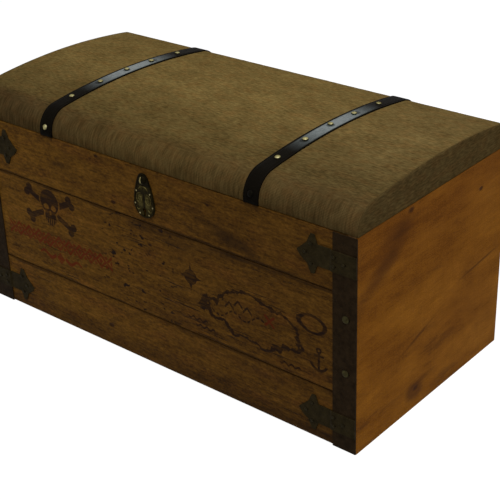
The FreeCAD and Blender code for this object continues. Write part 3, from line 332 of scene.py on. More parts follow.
def painting(finish, cut, colour):
    least, most, sine = finish.least, finish.most, finish.sine

    def far(u, v):
        return (u * u + v * v) ** 0.5

    def oval(u, v, wide, high):
        return (far(u / wide, v / high) - 1) * min(wide, high)

    def disc(u, v, radius):
        return oval(u, v, radius, radius)

    def stroke(u, v, start, end, half):
        run = (end[0] - start[0], end[1] - start[1])
        u, v = u - start[0], v - start[1]
        clamped = {"operation": "MULTIPLY", "use_clamp": True}
        share = finish.add("Math", clamped, [u * run[0] + v * run[1], 1 / (run[0] ** 2 + run[1] ** 2)])
        return far(u - share * run[0], v - share * run[1]) - half

    def lozenge(u, v, wide, high):
        return (abs(u) / wide + abs(v) / high - 1) * min(wide, high) * 0.7

    def skull_and_bones(u, v):
        skull = least(oval(u, v - 12, 25, 26), oval(u, v + 19, 15.5, 18))
        eye = oval(u - 10, v - 1, 7, 6.2)
        nose = oval(u, v + 10.5, 2.8, 4.6)
        teeth = most(abs((u + 2.8) % 5.6 - 2.8) - 0.8, v + 22)
        face = most(skull, 0 - eye, 0 - nose, 0 - teeth)
        bones = least(stroke(u, v, (0, -3), (56, 24), BONE), stroke(u, v, (0, -3), (56, -30), BONE),
                      *[disc(u - end[0], v - end[1], BONE_END) for end in BONE_ENDS_AT])
        return least(face, most(bones, 3.5 - skull))

    def flourish(u, v):
        along_row = (u + BAND_STEP / 2) % BAND_STEP - BAND_STEP / 2
        beside = abs(along_row) - BAND_STEP / 2
        row = least(abs(lozenge(along_row, v - 29, 12, 13)) - 2.4, lozenge(along_row, v - 29, 5, 6),
                    disc(beside, v - 38, 3.4), disc(beside, v - 20, 3.4))
        wave = abs(v + 3 - sine(u * 0.16 + 0.4) * 5) * 0.75 - (4.0 - u * 0.04)
        return least(most(row, u - BAND_HALF), most(wave, u - WAVE_HALF, 13 - u), lozenge(u, v + 3, 11, 13))

    def peak(u, v):
        return most(abs(v + abs(u) * 1.15) * 0.65 - 1.8, abs(u) - 10)

    def waves(u, v):
        return most(abs(v - sine(u * 0.42) * 2.2) * 0.8 - 1.5, abs(u) - 22)

    def star(u, v):
        points = ((abs(u) ** 0.5 + abs(v) ** 0.5) ** 2 - 32) * 0.5
        return least(points, abs(far(u, v) - 13) - 1.6)

    def anchor(u, v):
        return least(most(u - 2.3, abs(v) - 17), most(abs(v - 11) - 2.1, u - 10),
                     abs(far(u, v - 21) - 4) - 1.8, most(abs(far(u, v) - 17) - 2.5, v + 6))

    def chart(u, v):
        def at(spot):
            return u - spot[0], v - spot[1]

        crinkle = finish.noise(finish.point(x, z), (0.021, 0.021, 1.0), 4.0, 0.6) - 0.5
        coast = abs(far(u / 96, v / 44) + crinkle * 1.2 - 1) * 42 - 3.1
        islet_u, islet_v = at(ISLET_AT)
        islet = abs(far(islet_u / 27, islet_v / 15) + crinkle * 0.9 - 1) * 15 - 2.5
        route = most(abs(v - sine(u * 0.11) * 7 - u * 0.12) - 1.9, abs(u + 35) - 65, u % 10 - 6)
        anchor_u, anchor_v = at(ANCHOR_AT)
        return least(coast, islet, route, star(*at(STAR_AT)), anchor(abs(anchor_u), anchor_v),
                     *[peak(*at(spot)) for spot in PEAKS_AT], *[waves(*at(spot)) for spot in WAVES_AT])

    def cross(u, v):
        return least(stroke(u, v, (-9, -9), (9, 9), 2.2), stroke(u, v, (-9, 9), (9, -9), 2.2))

    x, z = cut.along * 1000, cut.across * 1000
    skull = skull_and_bones(abs(x - SKULL_AT[0]), z - SKULL_AT[1])
    band = flourish(abs(x - BAND_AT[0]), z - BAND_AT[1])
    brown = least(skull, chart(x - CHART_AT[0], z - CHART_AT[1]))
    red = least(band, cross(x - CROSS_AT[0], z - CROSS_AT[1]))
    rough = cut.figure(300.0, 900.0) * 1.6 - 0.8
    worn = 0.6 + finish.fade(cut.figure(22.0, 160.0, 4.0, 0.65), 0.36, 0.56) * 0.32
    colour = finish.mix(finish.fade(red + rough, 0.7, -0.7) * worn, colour, shade(92, 33, 8))
    return finish.mix(finish.fade(brown + rough, 0.7, -0.7) * worn, colour, shade(26, 12, 5))


for level, seed, weather in (("bottom", 0.4, 0.2), ("middle", 2.3, 1.0), ("top", 4.9, 0.1)):
    middle = level == "middle"
    front_pine = plank_finish(f"front_{level}_pine", level, seed, -1, FRONT_KNOTS[level], weather,
                              FRONT_STAINS[level], worms=middle, picture=painting if middle else None)
    coat(front_pine, f"front_plank_{level}")
    back_knots = [(seed / 9, 0.2, 0.006)]
    back_pine = plank_finish(f"back_{level}_pine", level, seed + 9.0, 1, back_knots, weather * 0.5)
    coat(back_pine, f"back_plank_{level}")

# End boards: one wide pine board on each end, nailed over the planks' ends and waxed to a brighter
# orange. A few knots, dark smears and short cracks lie along the grain, and the inner side is bare.

HALF_WIDTH = 0.450
RIGHT_KNOTS = [(-0.080, 0.391, 0.0068), (-0.050, 0.039, 0.006), (0.138, 0.347, 0.0042)]
RIGHT_SMEARS = [(-0.145, 0.322, 0.085, 0.030, 0.6), (-0.110, 0.366, 0.055, 0.028, 0.2),
                (0.150, 0.200, 0.075, 0.0025, 0.1), (-0.044, 0.143, 0.060, 0.005, 0.3),
                (-0.054, 0.034, 0.024, 0.016, 0.0)]
LEFT_KNOTS = [(0.090, 0.300, 0.005), (-0.120, 0.090, 0.006)]
LEFT_SMEARS = [(0.060, 0.250, 0.090, 0.010, 0.2), (-0.140, 0.330, 0.050, 0.012, 0.0)]


def end_finish(name, seed, side, knots, marks):
    """Waxed pine; side is -1 on the left end and 1 on the right."""
    finish = Finish(name, {"Specular IOR Level": 0.03})
    cut = grain(finish, "yzx", seed, (0.12, -side * 0.25), knots)
    clouds = cut.figure(7.0, 16.0, 5.0, 0.62)
    saw = cut.figure(170.0, 22.0, 4.0, 0.65)
    dust = cut.figure(420.0, 420.0)
    tone = (cut.rings * 0.04 + cut.fibres * 0.3 + clouds * 0.78 + saw * 0.16 + dust * 0.55) - 0.405
    colour = finish.ramp(tone, [(0.2, shade(81, 44, 5)), (0.42, shade(113, 67, 9)),
                                (0.62, shade(137, 86, 16)), (0.85, shade(158, 105, 26))])
    veins = finish.fade(cut.figure(8.0, 34.0, 5.0, 0.65), 0.56, 0.72)
    colour = finish.mix(veins * 0.4, colour, shade(62, 33, 7))
    colour = finish.tint(finish.fade(cut.across, 0.25, 0.37), colour, (0.81, 0.77, 0.86))
    colour = finish.mix(cut.knots * 0.8, colour, shade(44, 20, 6))
    colour = stained(finish, cut, colour, marks, shade(60, 30, 6))
    colour = bare_within(finish, colour, tone, HALF_WIDTH - cut.through * side)
    finish.surface(colour, 0.7 - clouds * 0.15, cut.fibres * 0.5 + saw * 0.2 - cut.knots * 0.4, 0.0006)
    return finish


coat(end_finish("right_end_pine", 1.7, 1, RIGHT_KNOTS, RIGHT_SMEARS), "end_board_right")
coat(end_finish("left_end_pine", 6.2, -1, LEFT_KNOTS, LEFT_SMEARS), "end_board_left")

# Corner irons and spear brackets: forged strap iron, blackened by oil and smoke, a little rusty,
# nailed on cold. The brackets lie over the irons.


def iron_finish(name, black, rust):
    finish = Finish(name, {"Specular IOR Level": 0.015, "Specular Tint": (0.3, 0.27, 0.2, 1.0)})
    place = finish.object_place()
    mottle = finish.noise(place, 70.0, 4.0, 0.65)
    pits = finish.noise(place, 420.0, 3.0, 0.6)
    colour = finish.ramp(mottle * 0.7 + pits * 0.3, [(0.3, black), (0.7, rust)])
    hammered = finish.noise(place, 120.0, 1.0)
    finish.surface(colour, 0.62 - mottle * 0.2, hammered + pits * 0.35, 0.0008, Metallic=0.08)
    return finish


corner_iron = iron_finish("corner_iron", shade(22, 15, 8), shade(48, 36, 22))
coat(corner_iron, "corner_iron_left", "corner_iron_right")
bracket_iron = iron_finish("bracket_iron", shade(24, 19, 9), shade(50, 42, 24))
coat(bracket_iron, *named("spear_bracket"))

# Iron nails: round brass heads, driven through the irons and brackets into the planks, each one
# struck a little differently.

HEAD_SEGMENTS, HEAD_RINGS = 20, 14
SMALLEST, LARGEST = 0.94, 1.05
DENT_WAVES = 240.0


def seats(node):
    """Where each fastener of a node has its head, and which way it faces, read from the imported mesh."""
    shape = bmesh.new()
    shape.from_mesh(nodes[node].data)
    bmesh.ops.remove_doubles(shape, verts=shape.verts, dist=1e-6)
    left, found = set(shape.verts), []
    while left:
        island, edge = set(), [left.pop()]
        while edge:
            vert = edge.pop()
            island.add(vert)
            fresh = {link.other_vert(vert) for link in vert.link_edges} & left
            left -= fresh
            edge += fresh
        cloud = np.array([vert.co for vert in island])
        middle = (cloud.min(0) + cloud.max(0)) / 2
        line = np.linalg.svd(cloud - cloud.mean(0))[2][0]
        reach = (cloud - middle) @ line
        off_line = np.linalg.norm(cloud - middle - np.outer(reach, line), axis=1)
        facing = line if reach[off_line.argmax()] > 0 else -line
        widest = cloud[off_line > off_line.max() - 1e-5]
        found.append((widest.mean(0), facing))
    shape.free()
    return sorted(found, key=lambda seat: tuple(seat[0].round(4)))


def nail_tree(name, finish):
    """Nail heads on points that carry their facing: squashed spheres, flat below, each a little uneven."""
    tree = bpy.data.node_groups.new(name, "GeometryNodeTree")
    ports = {}
    for label, kind in (("Seats", "Geometry"), ("Head radius", "Float"), ("Crown", "Float"),
                        ("Dents", "Float"), ("Seed", "Int")):
        port = tree.interface.new_socket(label, in_out="INPUT", socket_type=f"NodeSocket{kind}")
        ports[label] = port.identifier
    tree.interface.new_socket("Nails", in_out="OUTPUT", socket_type="NodeSocketGeometry")
    nails = Nodes(tree)
    given = tree.nodes.new("NodeGroupInput").outputs
    points, radius, crown, dents, seed = [Wire(nails, given[label]) for label in ports]
    ball = nails.add("GeometryNodeMeshUVSphere", {},
                     {"Segments": HEAD_SEGMENTS, "Rings": HEAD_RINGS, "Radius": radius})
    x, y, z = nails.split(nails.add("GeometryNodeInputPosition", {}, []))
    raised = nails.most(z, 0.0)
    domed = nails.point(x, y, raised * (crown / radius))
    marked = nails.add("GeometryNodeStoreNamedAttribute", {"data_type": "FLOAT", "domain": "POINT"},
                       {"Geometry": ball, "Name": "crown", "Value": raised / radius})
    head = nails.add("GeometryNodeSetPosition", {}, {"Geometry": marked, "Position": domed})
    facing = nails.add("GeometryNodeInputNamedAttribute", {"data_type": "FLOAT_VECTOR"}, {"Name": "facing"})
    turn = nails.add("FunctionNodeAlignRotationToVector", {"axis": "Z"}, {"Vector": facing})
    size = nails.add("FunctionNodeRandomValue", {"data_type": "FLOAT"},
                     {"Min": SMALLEST, "Max": LARGEST, "Seed": seed}, output=1)
    placed = nails.add("GeometryNodeInstanceOnPoints", {},
                       {"Points": points, "Instance": head, "Rotation": turn, "Scale": size})
    real = nails.add("GeometryNodeRealizeInstances", {}, {"Geometry": placed})
    rough = nails.add("TexNoise", {}, {"Scale": DENT_WAVES, "Detail": 1.0}, output=1)
    swing = nails.add("VectorMath", {"operation": "SUBTRACT"}, [rough, (0.5, 0.5, 0.5)])
    push = nails.add("VectorMath", {"operation": "SCALE"}, {0: swing, "Scale": dents})
    dented = nails.add("GeometryNodeSetPosition", {}, {"Geometry": real, "Offset": push})
    smooth = nails.add("GeometryNodeSetShadeSmooth", {}, {"Geometry": dented})
    finished = nails.add("GeometryNodeSetMaterial", {}, {"Geometry": smooth, "Material": finish.material})
    nails.feed(tree.nodes.new("NodeGroupOutput"), {"Nails": finished})
    return tree, ports


def stand(name, data):
    """Puts a mesh, a lamp or a lens into the scene."""
    thing = bpy.data.objects.new(name, data)
    bpy.context.scene.collection.objects.link(thing)
    return thing


def drive_nails(name, node, body, finish, radius, crown, dents, seed):
    places = seats(node)
    mesh = bpy.data.meshes.new(name)
    mesh.from_pydata([spot for spot, _ in places], [], [])
    facings = mesh.attributes.new("facing", "FLOAT_VECTOR", "POINT")
    facings.data.foreach_set("vector", np.array([facing for _, facing in places], np.float32).ravel())
    heads = stand(name, mesh)
    tree, ports = nail_tree(f"{name}_tree", finish)
    modifier = heads.modifiers.new("nails", "NODES")
    modifier.node_group = tree
    for label, value in (("Head radius", radius), ("Crown", crown), ("Dents", dents), ("Seed", seed)):
        modifier[ports[label]] = value
    bpy.context.view_layer.update()
    made = bpy.data.meshes.new_from_object(heads.evaluated_get(bpy.context.evaluated_depsgraph_get()))
    heads.modifiers.clear()
    heads.data = made
    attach(heads, body)
    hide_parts(node)


def brass_finish(name, bright, dull, soot=None, metal=0.9, aged=None):
    """Old brass, bright to dull, with soot where a nail's rim holds grime; aged changes colour and metal."""
    finish = Finish(name, {"Specular IOR Level": 0.03, "Specular Tint": (0.5, 0.45, 0.25, 1.0)})
    place = finish.object_place()
    cloud = finish.noise(place, 160.0, 3.0, 0.6)
    speck = finish.noise(place, 700.0)
    colour = finish.ramp(cloud * 0.7 + speck * 0.3, [(0.35, bright), (0.65, dull)])
    if soot:
        crown = finish.add("Attribute", {"attribute_name": "crown"}, [], output=2)
        colour = finish.mix(finish.fade(crown + (cloud - 0.5) * 0.3, 0.7, 0.25), colour, soot)
    if aged:
        colour, metal = aged(finish, place, colour, metal)
    finish.surface(colour, 0.35 + cloud * 0.25, speck, 0.0003, Metallic=metal)
    return finish


bracket_brass = brass_finish("bracket_nail_brass", shade(44, 38, 22), shade(24, 20, 11), shade(20, 16, 9),
                             metal=0.15)
drive_nails("iron_nail_heads", "iron_nails", "chest", bracket_brass,
            radius=0.0036, crown=0.0018, dents=0.0005, seed=4)
corner_brass = brass_finish("corner_nail_brass", shade(66, 62, 38), shade(40, 34, 18), shade(22, 17, 9),
                            metal=0.3)
drive_nails("corner_nail_heads", "corner_nails", "chest", corner_brass,
            radius=0.0072, crown=0.0032, dents=0.0007, seed=6)

# Escutcheon: a cast brass plate over the keyhole, pear shaped, with a knob at its top and scrolls in
# low relief, brown with age, black in its groove and round its knob, with painted shade under the brow
# and along the rim, and a pale ridge down the knob as a painted highlight. Small brass pins round its
# edge hold it.

PLATE_FACE, BELLY_Z, CROWN_Z = -0.2275, 0.330, 0.378
BELLY, CROWN, FLANK, FLANK_X, FLANK_Z = 0.0245, 0.0115, 0.140, -0.11515, 0.32096
BELLY_TURN, CROWN_TURN = math.radians(4.5), math.radians(26.4)
TAPER = (BELLY - CROWN) / (CROWN_Z - BELLY_Z)
KNOB, KNOB_SINK = 0.00902, 0.00302
BEAD, BEAD_INSET = 0.0008, 0.0019
BROW_Z, BROW = 0.3525, 0.0125
BROW_SHADE_Z = 0.3545
SCROLL_X, SCROLL_Z, SCROLL_STRETCH = 0.0098, 0.3400, 1.35
LEAF_Z, LEAF_DROP = 0.3235, 0.0045
RUBBED, PLAIN, RIDGE = range(3)


def plate_age(brass, place, colour, metal):
    """Paler where hands rub the scrolls, black in the groove and round the knob, with painted shade
    under the brow and along the rim.
    """
    x, _, z = brass.split(place)
    aside = abs(x)
    above, below = brass.most(z - BELLY_Z, 0.0), brass.least(z - BELLY_Z, 0.0)
    inwards = BELLY - above * TAPER - (x * x + below * below) ** 0.5
    rim_shade = brass.fade(inwards, 0.0055, 0.002)
    groove = brass.fade(aside, 0.0022, 0.0010) * brass.fade(z, 0.319, 0.322) * brass.fade(z, 0.358, 0.354)
    brow_shade = brass.fade(abs(z - BROW_SHADE_Z), 0.0055, 0.003)
    top = brass.fade(z, 0.364, 0.368)
    # Black in the groove and on the knob; painted shade in the band under the brow and along the rim.
    black_and_shade = brass.most(groove, brow_shade * 0.7, rim_shade * 0.7, top)
    worn = (brass.fade(abs(aside - 0.0085), 0.006, 0.003) * brass.fade(z, 0.322, 0.328)
            * brass.fade(z, 0.351, 0.345))
    colour = brass.mix(worn * 0.38, colour, shade(92, 84, 48))
    return brass.mix(black_and_shade * 0.85, colour, shade(11, 9, 4)), metal


def arc(centre, radius, first, last, count):
    """Points along an arc from one angle to another, and the way that each one faces."""
    angles = np.linspace(first, last, count)
    facing = np.stack([np.cos(angles), np.sin(angles)], 1)
    return np.array(centre) + radius * facing, facing


def swelling(thin, swell, first, last, count):
    """Half widths of a line that is thin at its ends and swells by part of a sine between them."""
    return thin + swell * np.sin(np.linspace(first, last, count))


def raised_line(shape, path, radii, finish_number=RUBBED, lifts=None):
    """A half-round line cast on the plate's face along a path, closed where its ends meet."""
    path, closed = np.array(path), np.allclose(path[0], path[-1])
    run = np.gradient(path, axis=0)
    if closed:
        run[0] = run[-1] = path[1] - path[-2]
    run /= np.linalg.norm(run, axis=1)[:, None]
    turns = np.linspace(0, 2 * math.pi, 10, endpoint=False)
    rings = []
    for spot, along, radius, lift in zip(path, run, radii, np.zeros(len(path)) if lifts is None else lifts):
        rings.append([shape.verts.new((spot[0] + radius * math.cos(turn) * along[1],
                                       PLATE_FACE - lift - radius * math.sin(turn),
                                       spot[1] - radius * math.cos(turn) * along[0])) for turn in turns])
    if closed:
        bmesh.ops.delete(shape, geom=rings.pop(), context="VERTS")
        rings.append(rings[0])
    made = []
    for near, next_ring in zip(rings, rings[1:]):
        for step in range(len(turns)):
            after = (step + 1) % len(turns)
            made.append(shape.faces.new((near[step], near[after], next_ring[after], next_ring[step])))
    if not closed:
        made += [shape.faces.new(rings[0][::-1]), shape.faces.new(rings[-1])]
    for face in made:
        face.material_index = finish_number


plate_brass = brass_finish("escutcheon_brass", shade(52, 44, 17), shade(20, 16, 5), metal=0.3, aged=plate_age)
coat(plate_brass, "escutcheon_plate")
belly, _ = arc((0, BELLY_Z), BELLY - BEAD_INSET, -math.pi / 2, BELLY_TURN, 18)
flank, _ = arc((FLANK_X, FLANK_Z), FLANK - BEAD_INSET, BELLY_TURN, CROWN_TURN, 14)
crown, _ = arc((0, CROWN_Z), CROWN - BEAD_INSET, CROWN_TURN, math.pi / 2, 9)
half_edge = np.concatenate([belly, flank[1:], crown[1:]])
rim = np.concatenate([half_edge, half_edge[-2::-1] * (-1, 1)])
shape = bmesh.new()
raised_line(shape, rim, np.full(len(rim), BEAD), PLAIN)
up_knob = np.linspace(-0.0082, 0.0062, 15)
ridge = np.stack([0 * up_knob, CROWN_Z + up_knob], 1)
raised_line(shape, ridge, swelling(0.0004, 0.0010, 0.2, 2.9, 15), RIDGE,
            lifts=np.sqrt(KNOB ** 2 - up_knob ** 2) - KNOB_SINK - 0.0002)
brow, _ = arc((0, BROW_Z), BROW, math.radians(25), math.radians(155), 15)
raised_line(shape, brow, swelling(0.0004, 0.0010, 0, math.pi, 15))
turns = np.linspace(math.radians(115), math.radians(-420), 46)
reach = np.linspace(0.0088, 0.0014, 46)
leaf_x = np.linspace(0.0085, 0.0175, 12)
leaf_z = LEAF_Z - LEAF_DROP * np.sin(np.linspace(0, 2.6, 12))
for side in (-1, 1):
    scroll = np.stack([side * (SCROLL_X + reach * np.cos(turns)),
                       SCROLL_Z + SCROLL_STRETCH * reach * np.sin(turns)], 1)
    raised_line(shape, scroll, swelling(0.0004, 0.0008, 0.1, math.pi - 0.3, 46))
    raised_line(shape, np.stack([side * leaf_x, leaf_z], 1), swelling(0.0003, 0.0010, 0.1, math.pi - 0.1, 12))
bmesh.ops.recalc_face_normals(shape, faces=shape.faces)
relief_mesh = bpy.data.meshes.new("escutcheon_relief")
shape.to_mesh(relief_mesh)
shape.free()
relief_mesh.shade_smooth()
relief = stand("escutcheon_relief", relief_mesh)
rubbed_brass = brass_finish("rubbed_brass", shade(92, 82, 46), shade(44, 37, 16), metal=0.5)
# Painted highlight: the ridge down the knob is coloured pale brass to stand in for the knob's shine.
knob_highlight_brass = brass_finish("knob_highlight_brass", shade(140, 130, 88), shade(96, 86, 50), metal=0.5)
for brass in (rubbed_brass, plate_brass, knob_highlight_brass):
    relief_mesh.materials.append(brass.material)
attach(relief, "chest")
pin_brass = brass_finish("pin_brass", shade(150, 140, 104), shade(96, 86, 58), shade(36, 30, 18))
drive_nails("escutcheon_pin_heads", "escutcheon_pins", "chest", pin_brass,
            radius=0.0019, crown=0.0012, dents=0.0002, seed=9)

# Chest lock: a folded steel case screwed inside the front, a sliding bolt on two shouldered studs,
# and a strike plate with two staples under the lid's front rail.


def steel_finish(name, light, dark):
    finish = Finish(name, {"Specular IOR Level": 0.4})
    place = finish.object_place()
    brushed = finish.noise(place, (30.0, 900.0, 900.0))
    bloom = finish.noise(place, 45.0, 4.0, 0.6)
    colour = finish.ramp(bloom * 0.7 + brushed * 0.3, [(0.35, light), (0.7, dark)])
    finish.surface(colour, 0.38 + bloom * 0.25, brushed, 0.0002, Metallic=0.85)
    return finish


lock_steel = steel_finish("lock_steel", shade(120, 116, 108), shade(66, 60, 52))
coat(lock_steel, "lock_case", "lock_guide_studs", "lock_bolt", "strike_plate")
screw_steel = steel_finish("screw_steel", shade(132, 128, 120), shade(74, 68, 60))
coat(screw_steel, *[name for name in nodes if "screws" in name])

# Lid carcass: a rail along the front and back, a gable at each end and bent staves between them,
# all raw pine under the cloth.

for number, pale in enumerate((0.04, -0.06, 0.07, -0.03, 0.02), 1):
    low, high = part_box(f"lid_stave_{number}")
    pith = ((low[1] + high[1]) / 2 + 0.3 * pale, 0.33 - pale)
    coat(raw_timber(f"raw_stave_{number}", "xyz", 8.3 + 1.7 * number, pith, pale, (low[1], high[1])),
         f"lid_stave_{number}")
coat(raw_timber("raw_rails", "xyz", 1.2), "lid_rail_front", "lid_rail_back")
coat(raw_timber("raw_gables", "yzx", 2.6), "lid_gable_left", "lid_gable_right")

# Cloth cover: one length of coarse hessian stretched over the dome and glued, its hems turned under the
# rails, cut away round the hinges. Its threads pull straight down over the front shoulder.

LID_TOP, SHOULDER, SHOULDER_Z = 0.462, 0.042, 0.407
HEM_FOOT, HEM_REACH, FLAT_HEM, FOLD, EDGE_STEP = 0.4005, 0.014, 0.016, 0.0016, 0.0045
CLOTH, THREAD_PITCH, DROP = 0.001, 0.0023, 0.095
LARGEST_RIPPLE, SMOOTH_BY_STRAP = 0.0009, 0.006
HINGE_X, HINGE_HALF, NOTCH_TOP = 0.3105, 0.0383, 0.4035
STRAP_X, STRAP_WIDTH = 0.2421, 0.031
ARCH_STEPS, CLOTH_COLUMNS = 72, 361
shoulder_y = HALF_DEPTH - SHOULDER
crown_rise = LID_TOP - SHOULDER_Z
dome = (shoulder_y ** 2 + crown_rise ** 2 - SHOULDER ** 2) / (2 * (crown_rise - SHOULDER))
lean = math.asin(shoulder_y / (dome - SHOULDER))


def lid_arch(lift):
    """The lid's section from the top of its front edge over the dome, that far outside the cloth."""
    front, back = math.pi / 2 + lean, math.pi / 2 - lean
    runs = [arc((-shoulder_y, SHOULDER_Z), SHOULDER + lift, math.pi, front, ARCH_STEPS // 4),
            arc((0, LID_TOP - dome), dome + lift, front, back, ARCH_STEPS),
            arc((shoulder_y, SHOULDER_Z), SHOULDER + lift, back, 0, ARCH_STEPS // 4)]
    return [np.concatenate([first, over[1:-1], last]) for first, over, last in zip(*runs)]


def with_ends(front, front_facing, spots, facings):
    """The section with a front run before it and its mirror image after it."""
    mirror = np.array([-1, 1])
    return (np.concatenate([front, spots, front[::-1] * mirror]),
            np.concatenate([front_facing, facings, front_facing[::-1] * mirror]))


def run_length(spots):
    steps = np.linalg.norm(np.diff(spots, axis=0), axis=1)
    return np.concatenate([[0], np.cumsum(steps)])


def drawn_out(section, facing, beside, lift):
    """A grid of points: the section carried along to each place beside it and lifted the way it faces."""
    spots = np.zeros((len(section), len(beside), 3))
    spots[:, :, 0] = beside
    spots[:, :, 1:] = section[:, None] + lift[..., None] * facing[:, None]
    return spots


def flat_places(beside, lengths):
    """The places of such a grid's points on the flat piece, in metres across and along it."""
    return np.stack(np.broadcast_arrays(beside, lengths[:, None]), 2)


def grid_piece(name, spots, places, finish, keep=None, closed=False):
    """Faces through a grid of points, rows by columns, with places as the UV map in metres; closed
    joins the last column to the first and fills the two ends."""
    rows, columns = spots.shape[:2]
    mesh = bpy.data.meshes.new(name)
    faces = []
    for row in range(rows - 1):
        for column in range(columns - 1 + closed):
            if keep is None or keep(row, column):
                after = (column + 1) % columns
                faces.append((row * columns + column, row * columns + after,
                              (row + 1) * columns + after, (row + 1) * columns + column))
    mesh.from_pydata(spots.reshape(-1, 3), [], faces)
    layer = mesh.uv_layers.new(name="thread")
    corners = np.zeros(len(mesh.loops), np.int32)
    mesh.loops.foreach_get("vertex_index", corners)
    layer.data.foreach_set("uv", places.reshape(-1, 2)[corners].astype(np.float32).ravel())
    mesh.shade_smooth()
    mesh.materials.append(finish.material)
    trim = bmesh.new()
    trim.from_mesh(mesh)
    bmesh.ops.delete(trim, geom=[vert for vert in trim.verts if not vert.link_faces], context="VERTS")
    bmesh.ops.remove_doubles(trim, verts=trim.verts, dist=1e-6)
    if closed:
        bmesh.ops.holes_fill(trim, edges=[edge for edge in trim.edges if edge.is_boundary])
        bmesh.ops.recalc_face_normals(trim, faces=trim.faces)
    trim.to_mesh(mesh)
    trim.free()
    return stand(name, mesh)


def hessian_finish(name, light, middle, dark, drop=0.0):
    """Coarse plain weave; drop is how far from the front hem the pulled, streaky part reaches, and it also
    turns on the painted shade over the front.
    """
    finish = Finish(name, {"Specular IOR Level": 0.0})
    across, along = finish.sheet_place()
    cloth = finish.point(across, along)
    stray = finish.noise(cloth, (90.0, 90.0, 1.0)) - 0.5
    warp = finish.sine((across + stray * 0.0016) * (math.pi / THREAD_PITCH))
    weft = finish.sine((along + stray * 0.0016) * (math.pi / THREAD_PITCH))
    over = finish.fade(warp * weft, -0.35, 0.35)
    warp_up = abs(warp) * (0.6 + abs(weft) * 0.4)
    weft_up = abs(weft) * (0.6 + abs(warp) * 0.4)
    weave = over * warp_up + (1 - over) * weft_up
    slub = finish.noise(cloth, (80.0, 300.0, 1.0), 3.0, 0.65)
    blotch = finish.noise(cloth, (14.0, 22.0, 1.0), 4.0, 0.6)
    if drop:
        threads = finish.noise(cloth, (260.0, 26.0, 1.0), 4.0, 0.65)
        pulled = finish.fade(along + (blotch - 0.5) * 0.02, drop * 0.8, drop * 0.5)
        slub = slub * (1 - pulled) + threads * pulled
    tone = slub * 0.95 + blotch * 0.45 + weave * 0.15 - 0.28
    colour = finish.ramp(tone, [(0.25, dark), (0.5, middle), (0.78, light)])
    warm = finish.fade(finish.noise(cloth, (40.0, 70.0, 1.0), 3.0), 0.4, 0.7)
    colour = finish.tint(warm * 0.5, colour, (1.14, 0.94, 0.86))
    if drop:
        # Painted shade over the front of the lid: darker from the front of the dome down over the shoulder
        # and the front drop, and darker still at the drop's left end. The last glaze darkens the right end of
        # the cover.
        painted_front_shade = finish.fade(along, drop * 1.05, drop * 0.7)
        for share, glaze in ((finish.fade(along, 0.28, 0.09), (0.64, 0.64, 0.64)),
                             (painted_front_shade, (0.83, 0.785, 0.81)),
                             (painted_front_shade * finish.fade(across, 0.42, 0.1), (0.76, 0.75, 0.84)),
                             (finish.fade(across, 0.5, 0.85), (0.86, 0.86, 0.92))):
            colour = finish.tint(share, colour, glaze)
    finish.surface(colour, 0.95, weave + slub * 0.5, 0.0007)
    return finish


hem_y = np.linspace(-HALF_DEPTH + HEM_REACH, -HALF_DEPTH + FOLD, 4)[:-1]
hem = np.stack([hem_y, np.full(3, HEM_FOOT)], 1)
turn, turn_facing = arc((-HALF_DEPTH + FOLD, HEM_FOOT + FOLD), FOLD, 1.5 * math.pi, math.pi, 7)
front_run = np.concatenate([hem, turn, [[-HALF_DEPTH, HEM_FOOT + EDGE_STEP]]])
front_facing = np.concatenate([np.tile([0.0, -1.0], (3, 1)), turn_facing, [[-1.0, 0.0]]])
section, facing = with_ends(front_run, front_facing, *lid_arch(0.0))
cover_length = run_length(section)
columns = np.linspace(-HALF_WIDTH, HALF_WIDTH, CLOTH_COLUMNS)
chance = np.random.RandomState(12)


def smooth_noise(count, width):
    kernel = np.hanning(width + 2)[1:-1]
    noise = np.convolve(chance.normal(size=count + width - 1), kernel / kernel.sum(), "valid")
    return noise / noise.std()


ripple = 0.00012 * smooth_noise(len(columns), 3) + 0.0002 * smooth_noise(len(columns), 9)
upright = np.clip((abs(facing[:, 0]) - 0.25) / 0.6, 0, 1)
free = np.clip((abs(abs(columns) - STRAP_X) - STRAP_WIDTH / 2) / SMOOTH_BY_STRAP, 0, 1)
sag = 0.0002 * np.outer(smooth_noise(len(section), 25), smooth_noise(len(columns), 60))
push = (np.outer(upright, ripple + 0.0004) + (sag + 0.0002) * (1 - upright)[:, None]) * free
push = np.clip(push, 0, LARGEST_RIPPLE)
push[(cover_length < FLAT_HEM) | (cover_length > cover_length[-1] - FLAT_HEM)] = 0


def beside_hinge(row, column):
    x = (columns[column] + columns[column + 1]) / 2
    at_back = section[row, 0] > 0 and section[row:row + 2, 1].min() < NOTCH_TOP
    return not (at_back and abs(abs(x) - HINGE_X) < HINGE_HALF)


cover_cloth = hessian_finish("hessian_cover", shade(134, 114, 67), shade(107, 89, 50), shade(75, 61, 31),
                             DROP)
cover = grid_piece("hessian_cover", drawn_out(section, facing, columns, push),
                   flat_places(columns + HALF_WIDTH, cover_length), cover_cloth, keep=beside_hinge)
cover.modifiers.new("thickness", "SOLIDIFY").thickness = CLOTH
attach(cover, "lid")
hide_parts("cloth_cover")
